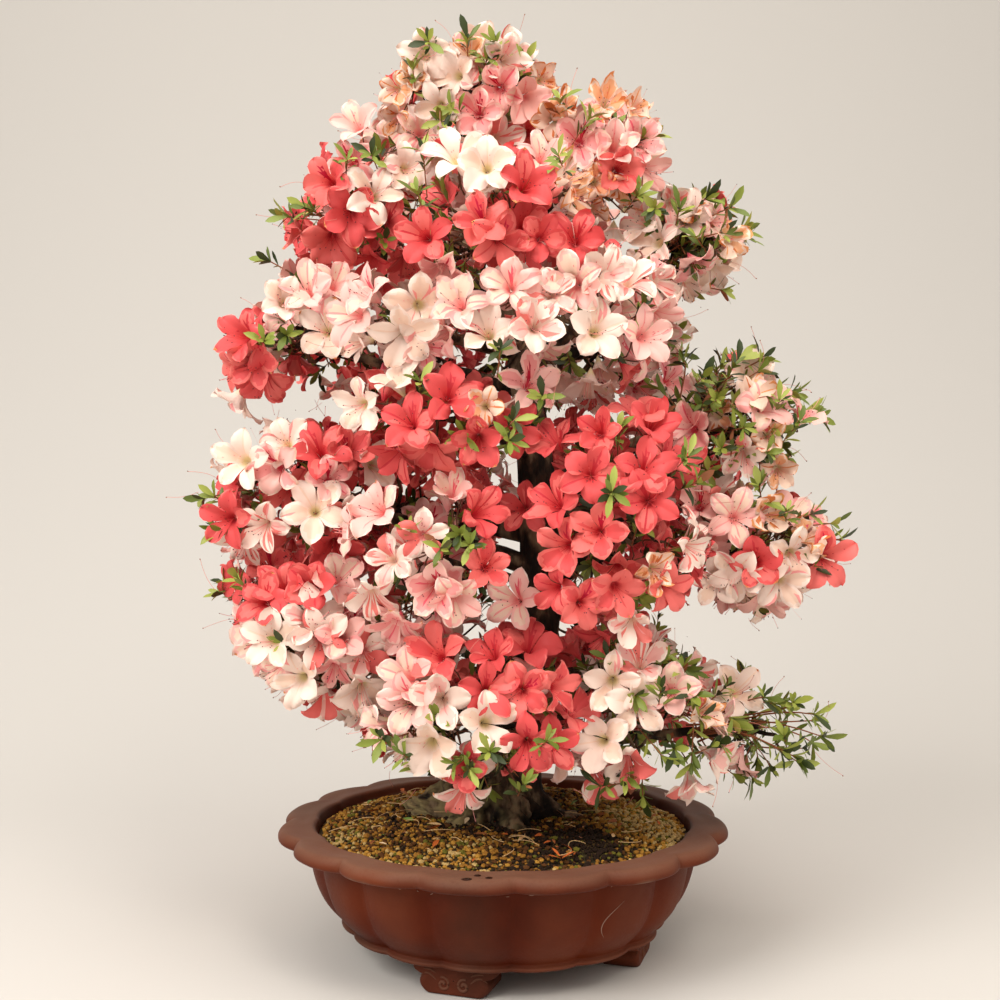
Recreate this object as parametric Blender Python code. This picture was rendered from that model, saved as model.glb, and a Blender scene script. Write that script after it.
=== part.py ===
# Azalea bonsai in full bloom, in a round lobed clay pot that stands on four scroll feet.
# Sizes are in metres. Z is up, and the front of the tree faces -Y.

import math
import random

import bmesh
import bpy
from mathutils import Vector

# Pot: a round bowl pressed into lobes, with a flat lobed rim
LOBES = 16
STEPS_PER_LOBE = 3
FIRST_CUSP = math.radians(2.5)
BOWL_BOTTOM_Z = 0.027
BOWL_FLOOR_Z = 0.038
RIM_TOP_Z = 0.124
RIM_RADIUS = 0.2195
MOUTH_RADIUS = 0.185
BODY_RADIUS = 0.1890
FOOT_RING_RADIUS = 0.1530

# Radius and height of the bowl's inner wall, from its floor up
INNER_WALL = (
    (0.147, BOWL_FLOOR_Z),
    (0.164, 0.0560),
    (BODY_RADIUS - 0.009, 0.1050),
)

# Feet
FOOT_COUNT = 4
FIRST_FOOT = math.radians(-18)
FOOT_WIDTH = 0.078
FOOT_INNER_RADIUS = 0.108
FOOT_OUTER_RADIUS = 0.142

# Soil and trunk
CLEARANCE = 0.0003
SOIL_EDGE_Z = 0.1165
SOIL_TOP_Z = 0.1270
SOIL_FLAT_RADIUS = 0.112
TRUNK_FOOT_Z = SOIL_TOP_Z + CLEARANCE
TRUNK_SIDES = 14
BOUGH_SIDES = 5

# Crown
FOLIAGE_FLOOR_Z = 0.1520
BLOSSOM_WIDTH = 0.064
LEAF_LENGTH = 0.036
CORE_DEPTH = 0.0190
SQUARENESS = 2.7
TUBE_SHARE = 0.85
WHORL_LEAVES = 4
LEAFY_WHORL_LEAVES = 6
TWIG_RADIUS = 0.0021

# Height, centre and mean radius of the trunk: wide roots, a lean to the right, then back to the apex
TRUNK_LINE = (
    (TRUNK_FOOT_Z, -0.006, 0.000, 0.0600),
    (0.142, -0.005, 0.000, 0.0460),
    (0.165, 0.001, 0.001, 0.0345),
    (0.205, 0.015, 0.003, 0.0275),
    (0.260, 0.028, 0.004, 0.0235),
    (0.330, 0.035, 0.004, 0.0212),
    (0.410, 0.035, 0.003, 0.0195),
    (0.490, 0.030, 0.002, 0.0175),
    (0.560, 0.022, 0.003, 0.0155),
    (0.630, 0.010, 0.004, 0.0130),
    (0.700, -0.004, 0.002, 0.0105),
    (0.765, -0.014, 0.000, 0.0078),
)

# Bearing (from the front, turning to the right), reach and width of the root buttresses
BUTTRESSES = (
    (math.radians(-94), 1.40, 0.34),
    (math.radians(-40), 0.55, 0.30),
    (math.radians(18), 0.70, 0.30),
    (math.radians(84), 1.15, 0.32),
    (math.radians(150), 0.70, 0.36),
    (math.radians(214), 0.60, 0.34),
)

# Foliage: centre, half sizes, blossoms, leaf shoots, colour and seed
MASSES = {
    "foliage_apex": ((-0.040, 0.000, 0.836), (0.104, 0.098, 0.082), 9, 4, "cream", 11),
    "foliage_upper_left": ((-0.131, -0.020, 0.724), (0.086, 0.108, 0.079), 8, 2, "coral", 12),
    "foliage_upper_right": ((0.087, 0.000, 0.768), (0.074, 0.104, 0.080), 7, 2, "peach", 13),
    "foliage_upper_front": ((-0.012, -0.110, 0.682), (0.094, 0.090, 0.078), 7, 1, "coral", 14),
    "foliage_right_shoulder": ((0.180, -0.005, 0.698), (0.072, 0.092, 0.066), 3, 4, "leaf", 15),
    "foliage_left_shelf": ((-0.194, -0.030, 0.598), (0.090, 0.104, 0.070), 8, 2, "cream", 16),
    "foliage_front_shelf": ((0.040, -0.118, 0.601), (0.120, 0.090, 0.075), 8, 1, "cream", 17),
    "foliage_left_drape": ((-0.091, -0.098, 0.594), (0.064, 0.088, 0.057), 4, 1, "cream", 35),
    "foliage_left_bank": ((-0.199, -0.025, 0.445), (0.110, 0.114, 0.082), 9, 2, "coral", 18),
    "foliage_left_skirt": ((-0.179, -0.040, 0.307), (0.098, 0.110, 0.087), 8, 2, "pink", 19),
    "foliage_front_upper": ((-0.043, -0.105, 0.509), (0.105, 0.086, 0.055), 5, 1, "coral", 20),
    "foliage_front_right": ((0.098, -0.118, 0.413), (0.081, 0.088, 0.115), 8, 1, "coral", 21),
    "foliage_front_left": ((-0.063, -0.108, 0.384), (0.085, 0.088, 0.082), 6, 1, "cream", 22),
    "foliage_right_shelf": ((0.230, 0.000, 0.513), (0.097, 0.102, 0.078), 3, 5, "leaf", 23),
    "foliage_right_bank": ((0.243, -0.010, 0.394), (0.100, 0.104, 0.073), 7, 2, "pink", 24),
    "foliage_front_skirt": ((-0.023, -0.105, 0.242), (0.107, 0.090, 0.085), 8, 1, "coral", 25),
    "foliage_right_skirt": ((0.124, -0.060, 0.243), (0.100, 0.098, 0.080), 7, 1, "cream", 26),
    "foliage_right_tip": ((0.246, -0.015, 0.216), (0.081, 0.080, 0.053), 3, 3, "leaf", 27),
    "foliage_back_upper": ((-0.020, 0.115, 0.718), (0.108, 0.092, 0.096), 6, 1, "pink", 28),
    "foliage_back_left_high": ((-0.118, 0.112, 0.615), (0.118, 0.098, 0.076), 6, 1, "coral", 29),
    "foliage_back_right_high": ((0.124, 0.110, 0.622), (0.118, 0.098, 0.088), 6, 1, "cream", 30),
    "foliage_back_left": ((-0.120, 0.122, 0.430), (0.124, 0.104, 0.086), 6, 1, "pink", 31),
    "foliage_back_right": ((0.148, 0.120, 0.450), (0.122, 0.104, 0.088), 6, 1, "coral", 32),
    "foliage_back_left_low": ((-0.112, 0.115, 0.262), (0.118, 0.100, 0.084), 6, 1, "cream", 33),
    "foliage_back_right_low": ((0.122, 0.118, 0.262), (0.116, 0.100, 0.082), 6, 1, "coral", 34),
}

# Boughs: mass served, height where it leaves the trunk, a bend on the way, radius at root and tip
BOUGHS = {
    "bough_upper_left": ("foliage_upper_left", 0.622, (-0.062, -0.010, 0.676), 0.0082, 0.0046),
    "bough_upper_right": ("foliage_upper_right", 0.676, (0.034, 0.003, 0.722), 0.0066, 0.0040),
    "bough_right_shoulder": ("foliage_right_shoulder", 0.566, (0.108, -0.008, 0.640), 0.0080, 0.0042),
    "bough_left_shelf": ("foliage_left_shelf", 0.508, (-0.072, -0.022, 0.552), 0.0092, 0.0048),
    "bough_left_drape": ("foliage_left_drape", 0.582, (-0.038, -0.048, 0.590), 0.0074, 0.0046),
    "bough_front_shelf": ("foliage_front_shelf", 0.535, (0.034, -0.030, 0.556), 0.0080, 0.0050),
    "bough_left_bank": ("foliage_left_bank", 0.368, (-0.085, -0.014, 0.412), 0.0105, 0.0052),
    "bough_left_skirt": ("foliage_left_skirt", 0.236, (-0.072, -0.020, 0.268), 0.0108, 0.0055),
    "bough_front_right": ("foliage_front_right", 0.350, (0.064, -0.040, 0.366), 0.0084, 0.0050),
    "bough_right_shelf": ("foliage_right_shelf", 0.446, (0.128, 0.004, 0.492), 0.0096, 0.0048),
    "bough_right_bank": ("foliage_right_bank", 0.318, (0.138, -0.002, 0.364), 0.0108, 0.0052),
    "bough_front_skirt": ("foliage_front_skirt", 0.200, (0.002, -0.040, 0.212), 0.0090, 0.0058),
    "bough_right_skirt": ("foliage_right_skirt", 0.222, (0.078, -0.026, 0.232), 0.0086, 0.0052),
    "bough_right_tip": ("foliage_right_tip", 0.190, (0.130, 0.030, 0.196), 0.0084, 0.0046),
    "bough_back_upper": ("foliage_back_upper", 0.640, (0.000, 0.040, 0.668), 0.0070, 0.0046),
    "bough_back_left_high": ("foliage_back_left_high", 0.545, (-0.046, 0.056, 0.574), 0.0080, 0.0048),
    "bough_back_right_high": ("foliage_back_right_high", 0.560, (0.070, 0.056, 0.592), 0.0080, 0.0048),
    "bough_back_left": ("foliage_back_left", 0.400, (-0.052, 0.060, 0.420), 0.0094, 0.0052),
    "bough_back_right": ("foliage_back_right", 0.408, (0.092, 0.062, 0.430), 0.0094, 0.0052),
    "bough_back_left_low": ("foliage_back_left_low", 0.262, (-0.042, 0.056, 0.258), 0.0096, 0.0056),
    "bough_back_right_low": ("foliage_back_right_low", 0.256, (0.070, 0.060, 0.256), 0.0096, 0.0056),
}

# Masses whose stem leaves the trunk itself: height of the stem's root on the trunk
TRUNK_STEMS = {
    "foliage_upper_front": 0.664,
    "foliage_front_upper": 0.478,
    "foliage_front_left": 0.352,
}

COLOURS = {
    "clay": (0.32, 0.17, 0.13),
    "soil": (0.45, 0.31, 0.17),
    "bark": (0.27, 0.20, 0.15),
    "coral": (0.90, 0.40, 0.38),
    "cream": (0.94, 0.86, 0.79),
    "pink": (0.93, 0.70, 0.67),
    "peach": (0.90, 0.71, 0.58),
    "leaf": (0.36, 0.46, 0.19),
}


def clear_scene():
    for item in list(bpy.data.objects):
        bpy.data.objects.remove(item, do_unlink=True)


def linear(value):
    return value / 12.92 if value <= 0.04045 else ((value + 0.055) / 1.055) ** 2.4


def plain_material(name, colour, roughness):
    material = bpy.data.materials.new(name)
    material.use_nodes = True
    shader = material.node_tree.nodes["Principled BSDF"]
    tint = tuple(linear(part) for part in COLOURS[colour]) + (1.0,)
    shader.inputs["Base Color"].default_value = tint
    shader.inputs["Roughness"].default_value = roughness
    shader.inputs["Metallic"].default_value = 0.0
    material.diffuse_color = tint
    return material


def solid(name, points, faces):
    """A closed mesh object with outward normals."""
    mesh = bpy.data.meshes.new(name)
    mesh.from_pydata([tuple(point) for point in points], [], faces)
    work = bmesh.new()
    work.from_mesh(mesh)
    bmesh.ops.recalc_face_normals(work, faces=work.faces)
    work.to_mesh(mesh)
    work.free()
    item = bpy.data.objects.new(name, mesh)
    bpy.context.scene.collection.objects.link(item)
    return item


def finish(item, material, sharp_angle=None):
    """Give the object its material, and round it off between its sharp edges."""
    item.data.materials.clear()
    item.data.materials.append(material)
    if sharp_angle is not None:
        item.data.shade_smooth()
        item.data.set_sharp_from_angle(angle=sharp_angle)
    return item


def toward(bearing):
    """Level direction at a bearing from the front."""
    return Vector((math.sin(bearing), -math.cos(bearing), 0.0))


def skin(rings, first_pole=None, last_pole=None):
    """Points and faces of a closed tube over rings of equal count. Ends are flat, or run to a pole."""
    points = [point for ring in rings for point in ring]
    count = len(rings[0])
    faces = []
    for row in range(len(rings) - 1):
        low = row * count
        for step in range(count):
            after = (step + 1) % count
            faces.append((low + step, low + after, low + count + after, low + count + step))
    last = (len(rings) - 1) * count
    if first_pole is None:
        faces.append(tuple(reversed(range(count))))
    else:
        points.append(first_pole)
        pole = len(points) - 1
        faces.extend((pole, (step + 1) % count, step) for step in range(count))
    if last_pole is None:
        faces.append(tuple(last + step for step in range(count)))
    else:
        points.append(last_pole)
        pole = len(points) - 1
        faces.extend((pole, last + step, last + (step + 1) % count) for step in range(count))
    return points, faces


def cusp(bearing):
    """How far into the groove between two lobes a bearing lies, from 0 to 1."""
    return (1.0 - abs(math.sin(LOBES / 2 * (bearing - FIRST_CUSP)))) ** 1.5


def bowl_profile():
    """Radius, height and groove depth, from the middle of the underside over the rim to the floor."""
    return (
        (FOOT_RING_RADIUS - 0.005, BOWL_BOTTOM_Z, 0.0030),
        (FOOT_RING_RADIUS, BOWL_BOTTOM_Z + 0.0025, 0.0030),
        (0.159, BOWL_BOTTOM_Z + 0.0110, 0.0040),
        (0.176, 0.056, 0.0050),
        (BODY_RADIUS - 0.002, 0.084, 0.0050),
        (BODY_RADIUS, 0.106, 0.0050),
        (BODY_RADIUS + 0.003, 0.1110, 0.0052),
        (RIM_RADIUS - 0.005, 0.1120, 0.0085),
        (RIM_RADIUS, 0.1165, 0.0100),
        (RIM_RADIUS - 0.001, 0.1210, 0.0100),
        (RIM_RADIUS - 0.006, RIM_TOP_Z, 0.0090),
        (MOUTH_RADIUS + 0.002, RIM_TOP_Z - 0.0002, 0.0030),
        (MOUTH_RADIUS - 0.002, RIM_TOP_Z - 0.0035, 0.0026),
    ) + tuple((radius, height, 0.0) for radius, height in reversed(INNER_WALL))


def build_pot():
    count = LOBES * STEPS_PER_LOBE
    bearings = [FIRST_CUSP + math.tau * step / count for step in range(count)]
    rings = []
    for radius, height, groove in bowl_profile():
        ring = []
        for bearing in bearings:
            point = toward(bearing) * (radius - groove * cusp(bearing))
            point.z = height
            ring.append(point)
        rings.append(ring)
    underside = Vector((0.0, 0.0, BOWL_BOTTOM_Z))
    floor = Vector((0.0, 0.0, BOWL_FLOOR_Z))
    points, faces = skin(rings, underside, floor)
    return finish(solid("pot", points, faces), plain_material("fired_clay", "clay", 0.72), math.radians(38))


def foot_outline():
    """Right half of a foot's front: a scalloped wing that draws in to a flat sole."""
    half = FOOT_WIDTH / 2
    top = BOWL_BOTTOM_Z - CLEARANCE
    return (
        (half, top),
        (half + 0.0005, top * 0.80),
        (half - 0.0040, top * 0.62),
        (half - 0.0080, top * 0.60),
        (half - 0.0055, top * 0.38),
        (half - 0.0085, top * 0.12),
        (half - 0.0130, 0.0),
    )


def build_foot(index):
    """One scroll foot. Its face is rounded back at the edges, and its sole is flat."""
    bearing = FIRST_FOOT + math.tau * index / FOOT_COUNT
    out = toward(bearing)
    side = Vector((-out.y, out.x, 0.0))
    half = list(foot_outline())
    outline = half + [(-across, height) for across, height in reversed(half)]
    middle = sum(height for _, height in outline) / len(outline)
    rings = []
    sections = ((FOOT_INNER_RADIUS, 1.0), (FOOT_OUTER_RADIUS - 0.005, 1.0), (FOOT_OUTER_RADIUS, 0.86))
    for radius, shrink in sections:
        ring = []
        for across, height in outline:
            lifted = middle + (height - middle) * shrink
            point = out * radius + side * (across * shrink)
            point.z = lifted
            ring.append(point)
        rings.append(ring)
    points, faces = skin(rings)
    name = f"foot_{index + 1}"
    return finish(solid(name, points, faces), plain_material(name + "_clay", "clay", 0.72), math.radians(30))


def build_soil():
    """Soil that fills the bowl, level under the trunk, higher in front than at the back left."""
    count = 24
    rings = []
    bearings = [math.tau * step / count for step in range(count)]
    for radius, height in INNER_WALL:
        level = max(height, BOWL_FLOOR_Z + CLEARANCE)
        rings.append([toward(bearing) * (radius - 0.0012) + Vector((0, 0, level)) for bearing in bearings])
    for radius, share in ((MOUTH_RADIUS - 0.0062, 0.0), (0.152, 0.50), (0.130, 0.85)):
        ring = []
        for bearing in bearings:
            edge = SOIL_EDGE_Z + 0.0030 * math.cos(bearing) - 0.0022
            height = edge + (SOIL_TOP_Z - edge) * share
            ring.append(toward(bearing) * radius + Vector((0, 0, height)))
        rings.append(ring)
    rings.append([toward(bearing) * SOIL_FLAT_RADIUS + Vector((0, 0, SOIL_TOP_Z)) for bearing in bearings])
    bottom = Vector((0, 0, BOWL_FLOOR_Z + CLEARANCE))
    points, faces = skin(rings, bottom, None)
    return finish(solid("soil", points, faces), plain_material("soil_grains", "soil", 0.95), math.radians(35))


def along_line(height):
    """Centre and mean radius of the trunk at a height, as a smooth curve through its rows."""
    rows = TRUNK_LINE
    height = min(max(height, rows[0][0]), rows[-1][0])
    index = 0
    while index < len(rows) - 2 and rows[index + 1][0] < height:
        index += 1
    before = rows[max(index - 1, 0)]
    low = rows[index]
    high = rows[index + 1]
    after = rows[min(index + 2, len(rows) - 1)]
    share = (height - low[0]) / (high[0] - low[0])
    values = []
    for part in (1, 2, 3):
        span = high[0] - low[0]
        slope_low = (high[part] - before[part]) / max(high[0] - before[0], 1e-6) * span
        slope_high = (after[part] - low[part]) / max(after[0] - low[0], 1e-6) * span
        values.append(
            (2 * share**3 - 3 * share**2 + 1) * low[part]
            + (share**3 - 2 * share**2 + share) * slope_low
            + (3 * share**2 - 2 * share**3) * high[part]
            + (share**3 - share**2) * slope_high
        )
    return Vector((values[0], values[1], height)), values[2]


def trunk_radius(height, bearing):
    """Radius of the trunk at a height and bearing: buttresses at the foot, shallow ribs above."""
    _, radius = along_line(height)
    rise = height - TRUNK_FOOT_Z
    spread = math.exp(-rise / 0.024)
    swell = 0.0
    for turn, reach, width in BUTTRESSES:
        apart = (bearing - turn + math.pi) % math.tau - math.pi
        swell += reach * math.exp(-((apart / width) ** 2))
    ribs = 0.055 * math.sin(3 * bearing + 9.0 * height) + 0.035 * math.sin(5 * bearing - 14.0 * height)
    return radius * (1.0 + 0.62 * spread * (swell - 0.30) + ribs * (1.0 - spread))


def trunk_rings(grow):
    """Level rings of the trunk, each pushed out by a small amount."""
    heights = [TRUNK_FOOT_Z, 0.1335, 0.142, 0.153, 0.168, 0.190, 0.215, 0.245]
    heights += [0.285, 0.330, 0.375, 0.420, 0.465, 0.510, 0.555, 0.600, 0.645, 0.690, 0.730]
    heights.append(TRUNK_LINE[-1][0])
    rings = []
    for height in heights:
        centre, _ = along_line(height)
        ring = []
        for step in range(TRUNK_SIDES):
            bearing = math.tau * step / TRUNK_SIDES
            ring.append(centre + toward(bearing) * (trunk_radius(height, bearing) + grow))
        rings.append(ring)
    return rings


def build_trunk():
    points, faces = skin(trunk_rings(0.0))
    return finish(solid("trunk", points, faces), plain_material("trunk_bark", "bark", 0.85), math.radians(50))


def trunk_cutter():
    """The trunk grown by the clearance, to cut what meets it."""
    rings = trunk_rings(CLEARANCE + 0.00005)
    points, faces = skin(rings)
    return solid("trunk_cutter", points, faces)


def curve_through(points, pieces):
    """Smooth curve through three points, as a list of points."""
    first, bend, last = points
    turn = (last - first) * 0.5
    line = []
    for step in range(pieces):
        share = step / pieces
        line.append(
            first * (2 * share**3 - 3 * share**2 + 1)
            + (bend - first) * (share**3 - 2 * share**2 + share)
            + bend * (3 * share**2 - 2 * share**3)
            + turn * (share**3 - share**2)
        )
    for step in range(pieces + 1):
        share = step / pieces
        line.append(
            bend * (2 * share**3 - 3 * share**2 + 1)
            + turn * (share**3 - 2 * share**2 + share)
            + last * (3 * share**2 - 2 * share**3)
            + (last - bend) * (share**3 - share**2)
        )
    return line


def limb_rings(line, radii, sides, last_direction, knots=0.0):
    """Rings of a limb along a line. The last one is square to the given direction."""
    rings = []
    frame = None
    for index, centre in enumerate(line):
        if index == len(line) - 1:
            ahead = last_direction.normalized()
        else:
            ahead = (line[index + 1] - line[max(index - 1, 0)]).normalized()
        if frame is None:
            frame = ahead.orthogonal().normalized()
        frame = (frame - ahead * frame.dot(ahead)).normalized()
        across = ahead.cross(frame)
        ring = []
        for step in range(sides):
            turn = math.tau * step / sides
            wave = 1.0 + knots * math.sin(2.0 * turn + 1.7 * index)
            ring.append(centre + (frame * math.cos(turn) + across * math.sin(turn)) * radii[index] * wave)
        rings.append(ring)
    return rings


def roundness(offset, half_sizes):
    """Below 1 inside a mass's rounded outline, which is a little squarer than an ellipsoid."""
    return sum(abs(part / half) ** SQUARENESS for part, half in zip(offset, half_sizes))


def outline_reach(direction, half_sizes):
    """Distance from the centre of a mass to its rounded outline along a unit direction."""
    return roundness(direction, half_sizes) ** (-1.0 / SQUARENESS)


def bough_line(name):
    """Centres and radii of a bough, from inside the trunk to where it enters its mass."""
    mass, height, bend, root_radius, tip_radius = BOUGHS[name]
    centre = Vector(MASSES[mass][0])
    root, _ = along_line(height)
    bend = Vector(bend)
    inward = (bend - centre).normalized()
    tip = centre + inward * min(0.86 * outline_reach(inward, MASSES[mass][1]), (bend - centre).length * 0.75)
    line = curve_through((root, bend, tip), 2)
    last = len(line) - 1
    radii = []
    for index in range(last + 1):
        share = index / last
        radii.append(tip_radius + (root_radius - tip_radius) * (1.0 - share) ** 1.3)
    return line, radii, -inward


def build_bough(name, cutter):
    """One tapering limb that fits the trunk's side with the clearance between them."""
    line, radii, ahead = bough_line(name)
    points, faces = skin(limb_rings(line, radii, BOUGH_SIDES, ahead, 0.05))
    item = solid(name, points, faces)
    cut_by(item, cutter)
    return finish(item, plain_material(name + "_bark", "bark", 0.85), math.radians(50))


def settle(item):
    """Replace the object's mesh by the result of its modifiers, and drop loose scraps."""
    graph = bpy.context.evaluated_depsgraph_get()
    mesh = bpy.data.meshes.new_from_object(item.evaluated_get(graph))
    item.modifiers.clear()
    work = bmesh.new()
    work.from_mesh(mesh)
    bmesh.ops.remove_doubles(work, verts=work.verts, dist=2e-6)
    bmesh.ops.dissolve_degenerate(work, edges=work.edges, dist=2e-6)
    bmesh.ops.triangulate(work, faces=work.faces)
    keep_largest(work)
    work.to_mesh(mesh)
    work.free()
    item.data = mesh


def keep_largest(work):
    """Keep the shell that reaches furthest, which leaves out scraps and sealed hollows."""
    seen = set()
    shells = []
    for start in work.verts:
        if start in seen:
            continue
        seen.add(start)
        shell = [start]
        for vertex in shell:
            for edge in vertex.link_edges:
                other = edge.other_vert(vertex)
                if other not in seen:
                    seen.add(other)
                    shell.append(other)
        shells.append(shell)
    shells.sort(key=len, reverse=True)
    loose = [vertex for shell in shells[1:] for vertex in shell]
    if loose:
        bmesh.ops.delete(work, geom=loose, context="VERTS")


def is_closed(mesh):
    """Whether every edge joins exactly two faces."""
    work = bmesh.new()
    work.from_mesh(mesh)
    closed = all(edge.is_manifold for edge in work.edges) and all(vertex.is_manifold for vertex in work.verts)
    work.free()
    return closed


def cut_by(item, cutter):
    cut = item.modifiers.new("fit", "BOOLEAN")
    cut.operation = "DIFFERENCE"
    cut.solver = "EXACT"
    cut.object = cutter
    settle(item)


def join_pieces(name, pieces):
    """One solid from a list of closed pieces."""
    first_points, first_faces = pieces[0]
    item = solid(name, first_points, first_faces)
    gathered = bpy.data.collections.new(name + "_pieces")
    bpy.context.scene.collection.children.link(gathered)
    parts = []
    for index, (points, faces) in enumerate(pieces[1:]):
        part = solid(f"{name}_piece_{index}", points, faces)
        bpy.context.scene.collection.objects.unlink(part)
        gathered.objects.link(part)
        parts.append(part)
    plain = item.data
    for solver in ("EXACT", "MANIFOLD"):
        item.data = plain.copy()
        union = item.modifiers.new("join", "BOOLEAN")
        union.operation = "UNION"
        union.solver = solver
        union.operand_type = "COLLECTION"
        union.collection = gathered
        settle(item)
        if is_closed(item.data):
            break
    for part in parts:
        bpy.data.objects.remove(part, do_unlink=True)
    bpy.data.collections.remove(gathered)
    return item


class Space:
    """The room that one mass keeps to: its ellipsoid, cut back by flat fences."""

    def __init__(self, name):
        self.centre = Vector(MASSES[name][0])
        self.half_sizes = MASSES[name][1]
        self.fences = [(Vector((0.0, 0.0, -1.0)), self.centre.z - FOLIAGE_FLOOR_Z)]
        for other, row in MASSES.items():
            if other == name:
                continue
            across = Vector(row[0]) - self.centre
            direction = across.normalized()
            own = outline_reach(direction, self.half_sizes)
            theirs = outline_reach(direction, row[1])
            limit = across.length * own / (own + theirs) - CLEARANCE
            if limit < own * 1.5:
                self.fences.append((direction, limit))
        self.core_fences = []

    def holds(self, points):
        """Whether all the points lie inside."""
        for point in points:
            offset = point - self.centre
            if roundness(offset, self.half_sizes) > 1.0:
                return False
            if any(offset.dot(direction) > limit for direction, limit in self.fences):
                return False
        return True

    def reach(self, direction):
        """Distance from the centre to the edge of the space."""
        length = outline_reach(direction, self.half_sizes)
        for fence, limit in self.fences:
            facing = direction.dot(fence)
            if facing > 1e-6:
                length = min(length, limit / facing)
        return length

    def core_reach(self, direction):
        """Distance from the centre to the surface of the dense core."""
        length = outline_reach(direction, self.half_sizes) - CORE_DEPTH
        for fence, limit in self.fences + self.core_fences:
            facing = direction.dot(fence)
            if facing > 1e-6:
                length = min(length, 0.96 * limit / facing)
        return length


def nearest_on(start, end, point):
    along = end - start
    share = (point - start).dot(along) / along.length_squared
    return start + along * min(max(share, 0.0), 1.0)


def limb_segments():
    """Every straight piece of trunk and boughs, with its greatest radius and the limb's name."""
    segments = []
    rings = trunk_rings(0.0)
    for low, high in zip(rings, rings[1:]):
        if high[0].z < FOLIAGE_FLOOR_Z:
            continue
        start = sum(low, Vector()) / len(low)
        end = sum(high, Vector()) / len(high)
        radius = max(max((point - start).length for point in low), max((point - end).length for point in high))
        segments.append((start, end, radius, "trunk"))
    for name in BOUGHS:
        line, radii, _ = bough_line(name)
        for index in range(len(line) - 1):
            segments.append((line[index], line[index + 1], radii[index] * 1.06, name))
    return segments


def clear_of_limbs(points, segments, leave_out=None):
    """Whether a small convex piece lies clear of every limb."""
    middle = sum(points, Vector()) / len(points)
    size = max((point - middle).length for point in points)
    for start, end, radius, owner in segments:
        if owner == leave_out:
            continue
        near = nearest_on(start, end, middle)
        gap = middle - near
        if gap.length > size + radius + CLEARANCE * 2:
            continue
        if gap.length < 1e-6:
            return False
        away = gap.normalized()
        if min((point - near).dot(away) for point in points) < radius + CLEARANCE * 2:
            return False
    return True


def tapered_rod(start, end, start_radius, end_radius, sides, spin=0.0):
    """A straight piece of stem or twig with flat ends."""
    ahead = (end - start).normalized()
    frame = ahead.orthogonal().normalized()
    across = ahead.cross(frame)
    rings = []
    for centre, radius in ((start, start_radius), (end, end_radius)):
        ring = []
        for step in range(sides):
            turn = math.tau * step / sides + spin
            ring.append(centre + (frame * math.cos(turn) + across * math.sin(turn)) * radius)
        rings.append(ring)
    return skin(rings)


def blossom(centre, axis, spin, width):
    """Five broad petals that flare from a funnel with a long tube. The centre lies in the throat."""
    axis = axis.normalized()
    frame = axis.orthogonal().normalized()
    across = axis.cross(frame)
    radius = width / 2
    points = []
    for petal in range(5):
        middle = spin + math.tau * petal / 5
        for turn, reach, rise in ((-0.38, 0.97, 0.22), (0.36, 1.0, 0.27), (math.tau / 10, 0.70, 0.05)):
            angle = middle + turn
            spoke = frame * math.cos(angle) + across * math.sin(angle)
            points.append(centre + spoke * (radius * reach) + axis * (radius * rise))
    points.append(centre - axis * (radius * 0.06))
    points.append(centre - axis * (radius * TUBE_SHARE))
    faces = []
    for step in range(15):
        faces.append((15, step, (step + 1) % 15))
    for petal in range(5):
        notch = (3 * petal + 14) % 15
        left = 3 * petal
        faces.append((notch, left + 1, left))
        faces.append((notch, left + 2, left + 1))
        faces.append((16, left + 2, notch))
    return points, faces


def whorl(end, direction, leaves, length, source):
    """A ring of pointed leaves around the end of a twig, in one closed piece."""
    frame = direction.orthogonal().normalized()
    across = direction.cross(frame)
    phase = source.uniform(0.0, math.tau)
    sector = math.tau / leaves
    points = []
    for index in range(leaves):
        middle = phase + sector * (index + source.uniform(-0.08, 0.08))
        size = length * source.uniform(0.80, 1.08)
        lift = source.uniform(0.12, 0.75)
        for turn, reach, rise in (
            (-0.62 / leaves, 0.52, 0.50 * lift),
            (0.0, 1.0, lift),
            (0.62 / leaves, 0.52, 0.50 * lift),
        ):
            angle = middle + turn * math.pi / 1.6
            spoke = frame * math.cos(angle) + across * math.sin(angle)
            points.append(end + (spoke * reach + direction * rise) * (size / math.hypot(1.0, lift)))
        angle = phase + sector * (index + 0.5)
        spoke = frame * math.cos(angle) + across * math.sin(angle)
        points.append(end + spoke * (length * 0.11) - direction * (length * 0.10))
    rim = 4 * leaves
    points.append(end + direction * (length * 0.06))
    points.append(end - direction * (length * 0.34))
    faces = []
    for step in range(rim):
        faces.append((rim, step, (step + 1) % rim))
    for index in range(leaves):
        before = (4 * index + rim - 1) % rim
        left = 4 * index
        after = left + 3
        faces.append((before, left + 1, left))
        faces.append((before, after, left + 1))
        faces.append((after, left + 2, left + 1))
        faces.append((rim + 1, after, before))
    return points, faces


def core_of(space, source):
    """A low rounded solid in the middle of a mass, like a cube blown up to the outline."""
    places = [
        (x, y, z) for x in (-1, 0, 1) for y in (-1, 0, 1) for z in (-1, 0, 1) if (x, y, z) != (0, 0, 0)
    ]
    index = {place: number for number, place in enumerate(places)}
    points = []
    for place in places:
        direction = Vector(place).normalized()
        length = space.core_reach(direction) * source.uniform(0.93, 1.0)
        points.append(space.centre + direction * length)
    faces = []
    for axis in range(3):
        for side in (-1, 1):
            for low in (-1, 0):
                for left in (-1, 0):
                    square = []
                    for across, up in ((left, low), (left + 1, low), (left + 1, low + 1), (left, low + 1)):
                        place = [across, up]
                        place.insert(axis, side)
                        square.append(index[tuple(place)])
                    middle = (left + left + 1, low + low + 1)
                    start = 0 if middle[0] * middle[1] > 0 else 1
                    turned = square[start:] + square[:start]
                    faces.append((turned[0], turned[1], turned[2]))
                    faces.append((turned[0], turned[2], turned[3]))
    return points, faces


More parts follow.
